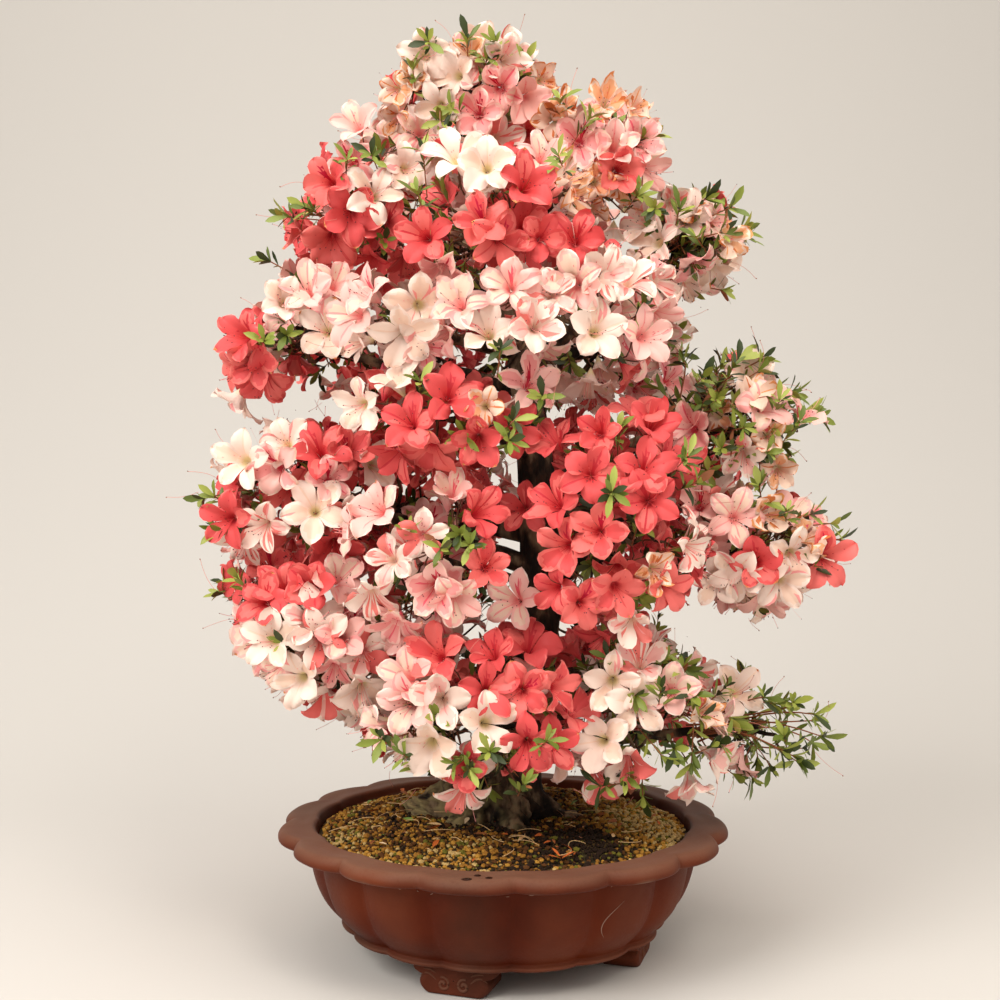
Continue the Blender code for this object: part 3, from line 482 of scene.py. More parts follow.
def toward(bearing: Array) -> Array:
    """Level directions at bearings from the front."""
    return np.stack([np.sin(bearing), -np.cos(bearing), np.zeros_like(bearing)], axis=-1)


def apart(bearing: Array, middle: float) -> Array:
    """The turn from one bearing to others, from minus to plus half a circle."""
    return (bearing - middle + math.pi) % math.tau - math.pi


def hermite(share: Array, low: Array, leave: Array, high: Array, arrive: Array) -> Array:
    """Blend two values and their slopes by the cubic Hermite curve.

    Args:
        share: How far along each result lies, 0 to 1.
        low: Value at 0.
        leave: Slope there.
        high: Value at 1.
        arrive: Slope there.

    Returns:
        The blended values.
    """
    return (
        (2 * share**3 - 3 * share**2 + 1) * low + (share**3 - 2 * share**2 + share) * leave
        + (3 * share**2 - 2 * share**3) * high + (share**3 - share**2) * arrive
    )


def bowed(start: Array, end: Array, steps: int, bend: Array | float = 0.0) -> Array:
    """Lines between pairs of places, bent sideways by half a sine wave.

    Args:
        start: Where each begins.
        end: Where each ends.
        steps: Points on a line.
        bend: How far the middle is moved.

    Returns:
        Points as line, step and x-y-z.
    """
    share = np.linspace(0, 1, steps)[None, :, None]
    return start[:, None] + (end - start)[:, None] * share + bend * np.sin(math.pi * share)


def smooth_rows(rows: Array, pieces: int) -> Array:
    """Run a Catmull-Rom curve through rows of values.

    Args:
        rows: Values at each knot.
        pieces: Steps between two knots.

    Returns:
        Values at every step, the knots among them.
    """
    padded = np.concatenate([2 * rows[:1] - rows[1:2], rows, 2 * rows[-1:] - rows[-2:-1]])
    share = np.arange(pieces)[:, None] / pieces
    found = []
    for before, low, high, after in zip(padded, padded[1:], padded[2:], padded[3:]):
        found.append(
            0.5 * (2 * low + (high - before) * share + (2 * before - 5 * low + 4 * high - after) * share**2
                   + (3 * low - before - 3 * high + after) * share**3)
        )
    return np.concatenate(found + [rows[-1:]])


def grid_faces(rows: int, columns: int, closed: bool = False) -> Array:
    """Corner numbers of a grid of quads.

    Args:
        rows: Number of rows of points.
        columns: Number of points in a row.
        closed: Whether the last point of a row joins the first.

    Returns:
        One row of four corners for each quad.
    """
    low = np.arange(rows - 1)[:, None] * columns
    column = np.arange(columns if closed else columns - 1)[None, :]
    after = (column + 1) % columns
    corners = [low + column, low + after, low + columns + after, low + columns + column]
    return np.stack(np.broadcast_arrays(*corners), axis=-1).reshape(-1, 4)


def repeated(faces: Array, points_each: int, count: int) -> Array:
    """The faces of one copy for each of many copies whose points follow one another."""
    return (faces[None] + np.arange(count)[:, None, None] * points_each).reshape(-1, faces.shape[1])


class Noise:
    """Smooth random values in space, from a seeded lattice."""

    def __init__(self, seed: int) -> None:
        """Fill the lattice's table from a seed."""
        self.table = np.random.default_rng(seed).random(8192) * 2.0 - 1.0

    def value(self, points: Array) -> Array:
        """Blend the lattice's corners round each point.

        Args:
            points: Places, with lattice cells of size one.

        Returns:
            One value from -1 to 1 for each place.
        """
        cell = np.floor(points).astype(np.int64)
        part = points - cell
        part = part * part * (3.0 - 2.0 * part)
        total = np.zeros(points.shape[:-1])
        for corner in range(8):
            step = np.array([corner & 1, corner >> 1 & 1, corner >> 2 & 1])
            place = cell + step
            key = place[..., 0] * 73856093 ^ place[..., 1] * 19349663 ^ place[..., 2] * 83492791
            total += self.table[key & 8191] * np.prod(np.where(step == 1, part, 1.0 - part), axis=-1)
        return total

    def layered(self, points: Array, octaves: int) -> Array:
        """Sum several sizes of the noise, each half as strong as the one before.

        Args:
            points: Places, with cells of size one in the coarsest layer.
            octaves: Number of layers.

        Returns:
            One value of about -1 to 1 for each place.
        """
        layers = (self.value(points * 2.0**layer + 17.3 * layer) / 2.0**layer for layer in range(octaves))
        return sum(layers) / 1.6


@dataclass
class Nodes:
    """One new material and the nodes that are added to it."""

    name: str
    tone: Triple
    specular: float

    def __post_init__(self) -> None:
        """Make the material with its plain display colour."""
        self.material = bpy.data.materials.new(self.name)
        self.material.use_nodes = True
        self.material.diffuse_color = linear(self.tone)
        self.tree = self.material.node_tree
        self.shader = self.tree.nodes["Principled BSDF"]
        self.plug(self.shader, {"Specular IOR Level": self.specular})

    def plug(self, node: bpy.types.Node, inputs: dict) -> None:
        """Give inputs their plain values or the outputs that feed them.

        Args:
            node: The node that takes them.
            inputs: Value or output socket for each input, by its name or number.
        """
        for key, value in inputs.items():
            if isinstance(value, Socket):
                self.tree.links.new(value, node.inputs[key])
            else:
                node.inputs[key].default_value = value

    def add(self, kind: str, output: str, inputs: dict | None = None, **settings: str | bool) -> Socket:
        """Add a node.

        Args:
            kind: Its type, without the first word that all share.
            output: Which of its outputs is wanted.
            inputs: As for plug.
            settings: Its own properties.

        Returns:
            That output.
        """
        node = self.tree.nodes.new("ShaderNode" + kind)
        for key, value in settings.items():
            setattr(node, key, value)
        self.plug(node, inputs or {})
        return node.outputs[output]

    def roughen(self, noise: Socket, rough: tuple[float, float], relief: float, depth: float) -> None:
        """Let a noise drive the roughness and a bump.

        Args:
            noise: The noise.
            rough: Least and greatest roughness.
            relief: Strength of the bump.
            depth: Its depth.
        """
        gloss = self.add("MapRange", "Result", {"Value": noise, "To Min": rough[0], "To Max": rough[1]})
        bump = self.add("Bump", "Normal", {"Height": noise, "Strength": relief, "Distance": depth})
        self.plug(self.shader, {"Roughness": gloss, "Normal": bump})


@dataclass(frozen=True)
class Finish:
    """The plain values of a material and the size and depth of its relief."""

    name: str
    colour: Triple
    roughness: float
    spread: float
    grain: float
    relief: float
    specular: float = 0.35
    sheen: float = 0.0

    def build(self) -> Material:
        """Make a material whose colour is plain and whose gloss and relief vary by a noise."""
        nodes = Nodes(self.name, self.colour, self.specular)
        nodes.plug(nodes.shader, {"Base Color": linear(self.colour), "Sheen Weight": self.sheen})
        place = nodes.add("TexCoord", "Object")
        noise = nodes.add("TexNoise", "Fac", {"Vector": place, "Scale": self.grain, "Detail": 2.0})
        rough = self.roughness - self.spread, self.roughness + self.spread
        nodes.roughen(noise, rough, self.relief, 0.0006)
        return nodes.material


def finishes(prefix: str, tints: type[Enum], *values: float) -> list[Material]:
    """One plain finish for each colour of a list, all with the same gloss and relief."""
    return [Finish(f"{prefix}_{tint.name.lower()}", tint.value, *values).build() for tint in tints]


@dataclass(frozen=True)
class MottledFinish:
    """A material whose colour runs between three tones by noise and by a painted attribute."""

    name: str
    dark: Triple
    middle: Triple
    pale: Triple
    painted: Triple
    roughness: float
    coarse: float
    fine: float
    relief: float
    depth: float
    stretch: float = 1.0
    specular: float = 0.30
    sharpness: float = 1.0

    def build(self) -> Material:
        """Make the material: a coarse noise picks the tone, and where the attribute named wear is
        high, a fine noise lets the painted colour through.

        Returns:
            The new material.
        """
        nodes = Nodes(self.name, self.middle, self.specular)
        place = nodes.add("TexCoord", "Object")
        place = nodes.add("Mapping", "Vector", {"Vector": place, "Scale": (1.0, 1.0, self.stretch)})
        coarse = nodes.add("TexNoise", "Fac", {"Vector": place, "Scale": self.coarse, "Detail": 5.0})
        fine = nodes.add("TexNoise", "Fac", {"Vector": place, "Scale": self.fine, "Detail": 4.0})
        tone = nodes.add("ValToRGB", "Color", {"Fac": coarse})
        steps = tone.node.color_ramp.elements
        steps[0].position, steps[0].color = 0.50 - 0.16 / self.sharpness, linear(self.dark)
        steps[1].position, steps[1].color = 0.50 + 0.20 / self.sharpness, linear(self.pale)
        steps.new(0.50).color = linear(self.middle)
        dust_moss_and_sheen = nodes.add("Attribute", "Fac", attribute_name="dust_moss_and_sheen")
        raised = {0: fine, 1: 1.1, 2: 0.45}
        broken = nodes.add("Math", "Value", raised, operation="MULTIPLY_ADD", use_clamp=True)
        share = nodes.add("Math", "Value", {0: dust_moss_and_sheen, 1: broken}, operation="MULTIPLY", use_clamp=True)
        blend = {"Factor": share, "A": tone, "B": linear(self.painted)}
        nodes.plug(nodes.shader, {"Base Color": nodes.add("Mix", "Result", blend, data_type="RGBA")})
        nodes.roughen(fine, (self.roughness - 0.12, min(self.roughness + 0.14, 1.0)), self.relief, self.depth)
        return nodes.material


@dataclass
class MeshParts:
    """Gathers points and faces from arrays, with a material number for each face."""

    points: list[Array] = field(default_factory=list)
    faces: list[Array] = field(default_factory=list)
    slots: list[Array] = field(default_factory=list)
    dust_moss_and_sheen: list[Array] = field(default_factory=list)
    count: int = 0

    def add(self, points: Array, faces: Array, slots: Array | int = 0, dust_moss_and_sheen: Array | float = 0.0) -> None:
        """Add one batch of faces that all have the same number of corners.

        Args:
            points: Places, of any leading shape.
            faces: Corner numbers within this batch, one row for each face.
            slots: Material number for each face, or one for all.
            dust_moss_and_sheen: Painted value for each point, or one for all.
        """
        flat = np.asarray(points, dtype=np.float64).reshape(-1, 3)
        self.points.append(flat)
        self.faces.append(np.asarray(faces, dtype=np.int64) + self.count)
        self.slots.append(np.broadcast_to(np.asarray(slots), (len(faces),)).astype(np.int32))
        self.dust_moss_and_sheen.append(np.broadcast_to(np.asarray(dust_moss_and_sheen, dtype=np.float32).reshape(-1), (len(flat),)))
        self.count += len(flat)

    def tube(self, paths: Array, radii: Array | float, sides: int, slot: int = 0, dust_moss_and_sheen: float = 0.0) -> None:
        """Add round tubes: circles square to the direction of each path, joined by quads.

        Args:
            paths: Centres as path, step and x-y-z, or as step and x-y-z for one path.
            radii: One radius, or one for each step, or one for each path, step and side.
            sides: Sides of a tube.
            slot: Material number.
            dust_moss_and_sheen: Painted value.
        """
        paths = paths.reshape(-1, *paths.shape[-2:])
        count, steps, _ = paths.shape
        ahead = unit(np.gradient(paths, axis=1))
        lie = unit(ahead.mean(axis=1))
        guide = np.where(np.abs(lie[:, 2:]) > 0.8, np.array([[1.0, 0.0, 0.0]]), UP)
        across = unit(np.cross(ahead, guide[:, None, :]))
        up = np.cross(across, ahead)
        turn = np.arange(sides) * math.tau / sides
        spokes = across[:, :, None] * np.cos(turn)[:, None] + up[:, :, None] * np.sin(turn)[:, None]
        wide = radii if np.ndim(radii) == 3 else np.broadcast_to(radii, (count, steps))[..., None]
        faces = repeated(grid_faces(steps, sides, True), steps * sides, count)
        self.add(paths[:, :, None] + spokes * wide[..., None], faces, slot, dust_moss_and_sheen)

    def build(self, name: str, materials: list[Material], smooth: bool = True) -> bpy.types.Object:
        """Make one mesh object of everything gathered.

        Args:
            name: Name of the piece.
            materials: Its materials, in the order of the face numbers.
            smooth: Whether its faces are shaded round.

        Returns:
            The new object, at the origin.
        """
        mesh = bpy.data.meshes.new(name)
        points = np.concatenate(self.points)
        loops = np.concatenate([batch.reshape(-1) for batch in self.faces]).astype(np.int32)
        sizes = np.concatenate([np.full(len(batch), batch.shape[1]) for batch in self.faces])
        starts = np.concatenate([[0], np.cumsum(sizes)[:-1]]).astype(np.int32)
        mesh.vertices.add(len(points))
        mesh.vertices.foreach_set("co", points.astype(np.float32).reshape(-1))
        mesh.loops.add(len(loops))
        mesh.loops.foreach_set("vertex_index", loops)
        mesh.polygons.add(len(starts))
        mesh.polygons.foreach_set("loop_start", starts)
        mesh.polygons.foreach_set("material_index", np.concatenate(self.slots))
        mesh.polygons.foreach_set("use_smooth", np.full(len(starts), smooth))
        for material in materials:
            mesh.materials.append(material)
        dust_moss_and_sheen = np.concatenate(self.dust_moss_and_sheen)
        if dust_moss_and_sheen.any():
            mesh.attributes.new("dust_moss_and_sheen", "FLOAT", "POINT").data.foreach_set("value", dust_moss_and_sheen.astype(np.float32))
        mesh.update(calc_edges=True)
        mesh.validate()
        item = bpy.data.objects.new(name, mesh)
        bpy.context.scene.collection.objects.link(item)
        LOG.info("%s: %d triangles", name, int((sizes - 2).sum()))
        return item

    def finish(
        self, name: str, materials: list[Material], slot: str, *nodes: str, smooth: bool = True,
    ) -> None:
        """Make the piece and let it ride on the plant.

        Args:
            name: Name of the piece.
            materials: Its materials.
            slot: Not used.
            nodes: Solids whose place it takes.
            smooth: Whether its faces are shaded round.
        """
        item = self.build(name, materials, smooth)
        if nodes:
            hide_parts(*nodes)
        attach(item, "root")


@dataclass
class TreeForm:
    """The trunk's and limbs' lines, by the same rule as the solids."""

    shift: Array

    def along(self, height: float) -> tuple[Array, float]:
        """Centre and mean radius of the trunk at a height, by a smooth curve through its rows.

        Args:
            height: Height above the feet.

        Returns:
            The centre, before the shift, and the radius.
        """
        rows = TRUNK_LINE
        height = min(max(height, rows[0, 0]), rows[-1, 0])
        index = int(np.searchsorted(rows[1:-1, 0], height))
        before, low, high, after = rows[[max(index - 1, 0), index, index + 1, min(index + 2, len(rows) - 1)]]
        span = high[0] - low[0]
        leave = (high - before) / max(high[0] - before[0], 1e-6) * span
        arrive = (after - low) / max(after[0] - low[0], 1e-6) * span
        value = hermite((height - low[0]) / span, low, leave, high, arrive)
        return np.array([value[1], value[2], height]), float(value[3])

    def trunk_radius(self, height: float, bearing: Array) -> Array:
        """Radius of the trunk round one height: buttresses at the foot, shallow ribs above.

        Args:
            height: Height above the feet.
            bearing: Bearings from the front.

        Returns:
            A radius for each bearing.
        """
        _, radius = self.along(height)
        spread = math.exp(-(height - TRUNK_FOOT_Z) / 0.024)
        swell = np.zeros_like(bearing)
        for turn, reach, width in BUTTRESSES:
            swell += reach * np.exp(-((apart(bearing, math.radians(turn)) / width) ** 2))
        ribs = 0.055 * np.sin(3 * bearing + 9.0 * height) + 0.035 * np.sin(5 * bearing - 14.0 * height)
        return radius * (1.0 + 0.62 * spread * (swell - 0.30) + ribs * (1.0 - spread))

    def bough_path(self, name: str, pieces: int) -> tuple[Array, Array]:
        """Centres and radii of a bough, from inside the trunk over its bend to where it enters its mass.

        Args:
            name: Name of the mass that it serves.
            pieces: Steps in each of its two halves.

        Returns:
            Centres, before the shift, and radii.
        """
        bough, index = BOUGHS[name], NAMES.index(name)
        centre = CENTRES[index]
        root, _ = self.along(bough.height / 1000)
        bend = np.array(bough.bend) / 1000
        inward = unit(bend - centre)
        reach = (np.abs(inward / HALVES[index]) ** SQUARENESS).sum() ** (-1 / SQUARENESS)
        tip = centre + inward * min(0.86 * reach, np.linalg.norm(bend - centre) * 0.75)
        turn = (tip - root) * 0.5
        share = (np.arange(pieces + 1) / pieces)[:, None]
        path = np.concatenate([
            hermite(share[:-1], root, bend - root, bend, turn), hermite(share, bend, turn, tip, tip - bend),
        ])
        along = np.arange(len(path)) / (len(path) - 1)
        thick, thin = bough.root / 10000, bough.tip / 10000
        return path, thin + (thick - thin) * (1.0 - along) ** 1.3

    def limb_points(self) -> tuple[Array, Array]:
        """Points along trunk and boughs, to keep blossoms and leaves off them.

        Returns:
            Centres, after the shift, and radii.
        """
        trunk = [self.along(float(height)) for height in np.arange(FOLIAGE_FLOOR_Z, TRUNK_LINE[-1, 0], 0.008)]
        limbs = [self.bough_path(name, 10) for name in BOUGHS]
        centres = np.concatenate([[centre for centre, _ in trunk]] + [path for path, _ in limbs])
        radii = np.concatenate([[radius for _, radius in trunk]] + [wide for _, wide in limbs])
        return centres + self.shift, radii


@dataclass
class Sites:
    """Places on the crown's surface, the way out at each, and the mass that each belongs to."""

    point: Array
    out: Array
    owner: Array

    def __len__(self) -> int:
        """Number of sites."""
        return len(self.point)

    def chosen(self, keep: Array) -> "Sites":
        """The sites that a mask or list of numbers picks."""
        return Sites(self.point[keep], self.out[keep], self.owner[keep])

    @staticmethod
    def joined(*layers: "Sites") -> "Sites":
        """Several layers as one."""
        names = ("point", "out", "owner")
        return Sites(*(np.concatenate([getattr(layer, name) for layer in layers]) for name in names))


@dataclass
class Rooms:
    """The rooms of all the masses, and places spread over the surface that they make together."""

    shift: Array
    centres: Array = field(init=False)

    def __post_init__(self) -> None:
        """Put the rooms' centres in the frame."""
        self.centres = CENTRES + self.shift

    def depth(self, points: Array, inset: float) -> Array:
        """How deep points lie in each room, below 1 inside: a sum of powers, as for a rounded box.

        Args:
            points: Places.
            inset: How far every room is drawn in first.

        Returns:
            One value for each point and room.
        """
        offset = (points[:, None] - self.centres[None]) / (HALVES[None] - inset)
        return (np.abs(offset) ** SQUARENESS).sum(axis=-1)

    def way_out(self, points: Array, owner: Array) -> Array:
        """Direction square to a room's surface, for points on it and the room of each."""
        offset = (points - self.centres[owner]) / HALVES[owner]
        return unit(np.sign(offset) * np.abs(offset) ** (SQUARENESS - 1) / HALVES[owner])

    def through_plane(self, points: Array) -> Array:
        """Where points appear from the front: the ray to each is cut at the level of the trunk.

        Args:
            points: Places in the frame.

        Returns:
            Distance right of the axis and height of each.
        """
        offset = points - self.shift - EYE
        scale = -EYE[1] / offset[:, 1]
        return np.stack([EYE[0] + offset[:, 0] * scale, EYE[2] + offset[:, 2] * scale], axis=-1)

    def seen(self, places: tuple, inset: float, near: float = RAY_START) -> Sites:
        """The nearest points of the crown on the rays through places on the trunk's plane.

        Args:
            places: Distances right of the axis and heights, in millimetres.
            inset: How far below the outline the surface lies.
            near: Distance behind the pot's axis where the search begins.

        Returns:
            One site for each place.
        """
        left, right, low, high = TRUNK_SHOWS
        depths = np.arange(near, near + RAY_REACH, RAY_STEP)
        points, owners, before = [], [], []
        for x, z in places:
            aim = np.array([x / 1000.0, 0.0, z / 1000.0]) - EYE
            ray = EYE + aim * ((depths - EYE[1]) / -EYE[1])[:, None] + self.shift
            deep = self.depth(ray, inset)
            nearest = deep.min(axis=1)
            inside = np.flatnonzero(nearest < 1.0)
            hit = int(inside[0]) if len(inside) else int(nearest[:200].argmin())
            gap = near < 0.0 and left < x < right and low < z < high
            before.append(gap and (not len(inside) or hit > BEFORE_TRUNK))
            hit = min(hit, BEFORE_TRUNK) if before[-1] else hit
            points.append(ray[hit])
            owners.append(int(deep[hit].argmin()))
        out = self.way_out(np.array(points), np.array(owners))
        out[np.array(before)] = (0.0, -1.0, 0.0)
        return Sites(np.array(points), out, np.array(owners))

    def within(self, points: Array, margin: float) -> Array:
        """Whether points lie inside the crown's outline as seen from the front.

        The sides of the outline to the right of a point are counted; an odd number is inside.

        Args:
            points: Places in the frame.
            margin: Least distance from the outline.

        Returns:
            A mask.
        """
        seen = self.through_plane(points)
        corner = np.array(OUTLINE) / 1000.0
        after = np.roll(corner, -1, axis=0)
        side = after - corner
        offset = seen[:, None] - corner[None]
        share = np.clip((offset * side).sum(axis=-1) / (side**2).sum(axis=-1), 0, 1)
        gap = np.linalg.norm(offset - side * share[..., None], axis=-1).min(axis=1)
        height = seen[:, 1:]
        rise = np.where(side[:, 1] == 0.0, 1e-9, side[:, 1])
        crossing = corner[:, 0] + (height - corner[:, 1]) / rise * side[:, 0]
        passed = ((corner[:, 1] > height) != (after[:, 1] > height)) & (seen[:, :1] < crossing)
        return (passed.sum(axis=1) % 2 == 1) & (gap > margin)

    def draw_in(self, sites: Sites, margin: float, spacing: float) -> Sites:
        """Move places that stand out of the outline towards the middle of their mass, bit by bit.

        Args:
            sites: Places on the surface.
            margin: Least distance from the outline.
            spacing: Least distance between a moved place and any other.

        Returns:
            The places that found room inside the outline.
        """
        point = sites.point.copy()
        heart = self.centres[sites.owner]
        outside = ~self.within(point, margin)
        kept = list(np.flatnonzero(~outside))
        moved = np.flatnonzero(outside)
        for _ in range(26):
            if not outside.any():
                break
            point[outside] += (heart[outside] - point[outside]) * 0.06
            outside[outside] = ~self.within(point[outside], margin)
        for number in moved[~outside[moved]]:
            if np.linalg.norm(point[kept] - point[number], axis=1).min() > spacing:
                kept.append(int(number))
        return Sites(point[kept], sites.out[kept], sites.owner[kept])

    def open_view(self, points: Array, margin: float) -> Array:
        """Whether points lie in one of the oval openings in the crown.

        Args:
            points: Places in the frame.
            margin: How far the openings are widened.

        Returns:
            A mask.
        """
        seen = self.through_plane(points)
        x, z, across, up = np.array(WINDOWS)[:, :4].T / 1000
        inside = ((seen[:, :1] - x) / (across + margin)) ** 2 + ((seen[:, 1:] - z) / (up + margin)) ** 2 < 1.0
        ahead = points[:, 1:2] - self.shift[1] < -0.012
        return (inside & (ahead | (np.array(WINDOWS)[:, 4] > 0))).any(axis=1)

    def sites(self, inset: float, spacing: float, source: Random, placed: Array | None = None) -> Sites:
        """Spread places over the joined surface, none nearer to another than the spacing.

        Args:
            inset: How far below the outline the surface lies.
            spacing: Least distance between two places.
            source: Seeded random numbers.
            placed: Places already taken.

        Returns:
            The places found.
        """
        points, owners = [], []
        for index in range(len(MASSES)):
            direction = unit(source.normal(size=(1500, 3)))
            spans = np.abs(direction / (HALVES[index] - inset)) ** SQUARENESS
            reach = spans.sum(axis=1) ** (-1 / SQUARENESS)
            point = self.centres[index] + direction * reach[:, None]
            deep = self.depth(point, inset)
            deep[:, index] = 9.0
            keep = (deep.min(axis=1) > 0.97) & (point[:, 2] > FOLIAGE_FLOOR_Z + 0.010 + inset * 0.3)
            points.append(point[keep])
            owners.append(np.full(int(keep.sum()), index))
        point, owner = np.concatenate(points), np.concatenate(owners)
        order = source.permutation(len(point))
        first = 0 if placed is None else len(placed)
        taken = np.full((len(order) + first, 3), 1e3)
        taken[:first] = placed if first else 1e3
        kept: list[int] = []
        for number in order:
            total = first + len(kept)
            gap = taken[:total] - point[number]
            if total and np.einsum("ij,ij->i", gap, gap).min() < spacing**2:
                continue
            taken[total] = point[number]
            kept.append(int(number))
        return Sites(point[kept], self.way_out(point[kept], owner[kept]), owner[kept])

    def facing(self, sites: Sites) -> Array:
        """How squarely each site faces away from the trunk, from -1 to 1, with more for those above."""
        level = (sites.point - self.shift) * np.array([1.0, 1.0, 0.0])
        return (unit(level) * sites.out).sum(axis=1) + np.maximum(sites.out[:, 2], 0.0) * 0.8


@dataclass
class Petals:
    """Blossoms made as grids: five petals that flare from a funnel, with stamens and a pistil."""

    source: Random

    def points(
        self, centre: Array, axis: Array, up: Array, radius: Array, closed: Array, wilt: Array,
    ) -> Array:
        """Work out every point of the petals.

        Each row of a petal lies at its reach from the axis and its rise along it, both blended from
        open to shut. Beyond the funnel its edges curl, lean over the next petal and ruffle.

        Args:
            centre: Centre of each blossom's face.
            axis: Direction that it faces.
            up: Direction of its upper petal.
            radius: Its radius.
            closed: How far it is from open, 0 to 1.
            wilt: How crumpled it is, 1 for fresh.

        Returns:
            Points as blossom, petal, row, column and x-y-z.
        """
        source, count = self.source, len(centre)
        each, whole, rows = (count, 5, 1), (count, 1, 1), (count, 5, 1, 1)
        share, open_reach, open_rise, shut_reach, shut_rise, width = PETAL_SHAPE
        wilted = wilt[:, None, None]
        mix = np.clip(closed[:, None, None] + source.normal(0, 0.10, each) * wilted, -0.15, 1.0)
        reach = open_reach * (1 - mix) + shut_reach * mix
        rise = open_rise * (1 - mix) + shut_rise * mix
        reach = reach * (1 + (source.normal(1.0, 0.05, each) - 1) * share)
        width = width * source.normal(1.0, 0.06, each) * source.normal(1.0, 0.06, whole)
        half = np.where(share < 0.45, reach * math.pi / 5, width)
        rise = rise + source.normal(0.0, 0.10, each) * wilted * np.clip(reach - 0.25, 0, None)
        droop = source.uniform(-0.1, 0.75, whole) + source.normal(0.0, 0.15, each)
        rise = rise - droop * np.clip(share - 0.58, 0, None) ** 1.6
        lean = source.choice([-1.0, 1.0], whole) * source.uniform(0.10, 0.24, each)
        turn = np.arange(5)[None, :, None] * math.tau / 5 + source.normal(0, 0.05, each) * wilted
        angle = turn[..., None] + half[..., None] * PETAL_ACROSS / np.maximum(reach[..., None], 0.05)
        free = np.clip((share - 0.34) / 0.3, 0, 1)[:, None]
        phase = source.uniform(0, math.tau, rows)
        pace = source.uniform(7.0, 13.0, rows)
        depth = source.uniform(0.04, 0.11, (count, 1, 1, 1)) * wilted[..., None] ** 1.5
        edge = np.abs(PETAL_ACROSS)
        ruffle = depth * np.sin(pace * share[:, None] + phase + 1.6 * PETAL_ACROSS) * edge**1.5 * free
        crease = (0.075 * (edge - 0.45) - 0.03 * (edge < 0.1)) * free
        curl = -source.uniform(-0.12, 0.42, rows) * wilted[..., None] * (edge**2 * free) * half[..., None]
        height = rise[..., None] + lean[..., None] * half[..., None] * PETAL_ACROSS * free
        height = height + ruffle + crease + curl
        axis, up, side = (lines[:, None, None, None] for lines in (axis, up, np.cross(axis, up)))
        spoke = np.cos(angle)[..., None] * up + np.sin(angle)[..., None] * side
        local = spoke * reach[..., None, None] + axis * height[..., None]
        return centre[:, None, None, None] + local * radius[:, None, None, None, None]

    def stripe(self, face: Array, column: int, start: int, stop: int, number: int) -> None:
        """Colour a narrow stripe along a petal, pointed at both ends.

        Args:
            face: Colour numbers of the petal.
            column: Column that it runs in.
            start: First row.
            stop: Row after its last.
            number: Its colour number.
        """
        face[start, column, 1] = number
        face[start + 1:stop - 1, column] = number
        face[stop - 1, column, 0] = number

    def flecks(self, parts: MeshParts, points: Array, axis: Array, kinds: Array) -> None:
        """Dot the three upper petals with small flecks, thickest near the throat.

        Args:
            parts: Where the faces go.
            points: Points of the petals.
            axis: Direction that each blossom faces.
            kinds: Numbers of the kinds.
        """
        source = self.source
        odds = np.array([bloom.value.flecked for bloom in BLOOMS])[kinds]
        blossom, _ = np.nonzero(source.random((len(kinds), 14)) < odds[:, None])
        count = len(blossom)
        petal = source.choice([0, 1, 4], count, p=(0.64, 0.18, 0.18))
        row = 1.2 + 3.6 * source.beta(1.2, 1.7, count)
        column = np.clip(source.normal(3.5, 1.2, count), 0.3, 6.7)
        low, left = row.astype(int), column.astype(int)
        corner = points[blossom, petal, low, left]
        along = points[blossom, petal, low + 1, left] - corner
        across = points[blossom, petal, low, left + 1] - corner
        place = corner + along * (row - low)[:, None] + across * (column - left)[:, None]
        along, across = unit(along), unit(across)
        normal = unit(np.cross(across, along))
        normal = normal * np.sign((normal * axis[blossom]).sum(axis=1, keepdims=True))
        long = source.uniform(0.0006, 0.0015, (count, 1)) * along
        wide = source.uniform(0.0003, 0.0005, (count, 1)) * across
        place = place + normal * 0.00025
        corners = np.stack([place + long, place + wide, place - long, place - wide], axis=1)
        tints = np.array([bloom.value.fleck.number for bloom in BLOOMS])[kinds[blossom]]
        parts.add(corners, np.arange(count * 4).reshape(-1, 4), tints)

    def tints(self, bloom: Bloom, count: int) -> Array:
        """Deal the colours of one kind of blossom out over its faces.

        Args:
            bloom: The kind of blossom.
            count: Number of different examples.

        Returns:
            Colour numbers as example, petal, row, column and half of the quad.
        """
        livery, source = bloom.value, self.source
        rows, columns = PETAL_SHAPE.shape[1] - 1, len(PETAL_ACROSS) - 1
        found = np.full((count, 5, rows, columns, 2), livery.base.number)
        for example in range(count):
            browned = source.random() < 0.16
            for petal, face in enumerate(found[example]):
                if source.random() < livery.washed:
                    # On the coral kinds the lighter wash and margins are partly the petals' own paler parts
                    # and partly painted light, for the glow of lit petals.
                    face[2:5, 1:6] = face[5, 2:5] = livery.wash.number
                if source.random() < livery.edged:
                    face[7] = face[6, (0, 6)] = livery.margin.number
                    face[5, (0, 6), 1] = livery.margin.number
                if petal == 0 and source.random() < livery.flecked**2:
                    face[1:3, 2:5] = livery.fleck.number
                    self.stripe(face, 3, 2, int(source.integers(5, 7)), livery.fleck.number)
                    face[3, (2, 4), (1, 0)] = livery.fleck.number
                if source.random() < livery.parted:
                    side = source.integers(0, 3)
                    face[1:, (0, 0, 3)[side]:(7, 4, 7)[side]] = livery.stripe.number
                if source.random() < livery.veined:
                    self.stripe(face, 3, 1, int(source.integers(4, 8)), livery.vein.number)
                for _ in range(source.poisson(livery.striped)):
                    start = int(source.integers(1, 5))
                    stop = min(start + int(source.integers(3, 5)), rows)
                    self.stripe(face, int(source.integers(0, columns)), start, stop, livery.stripe.number)
                # On the coral kinds the deeper throat is partly painted shade in the funnel.
                face[0] = livery.throat.number
                face[1, :, 0] = livery.throat.number
                if browned and source.random() < 0.6:
                    face[7, source.integers(0, 3):source.integers(4, 7)] = Tint.BROWNED.number
        return found

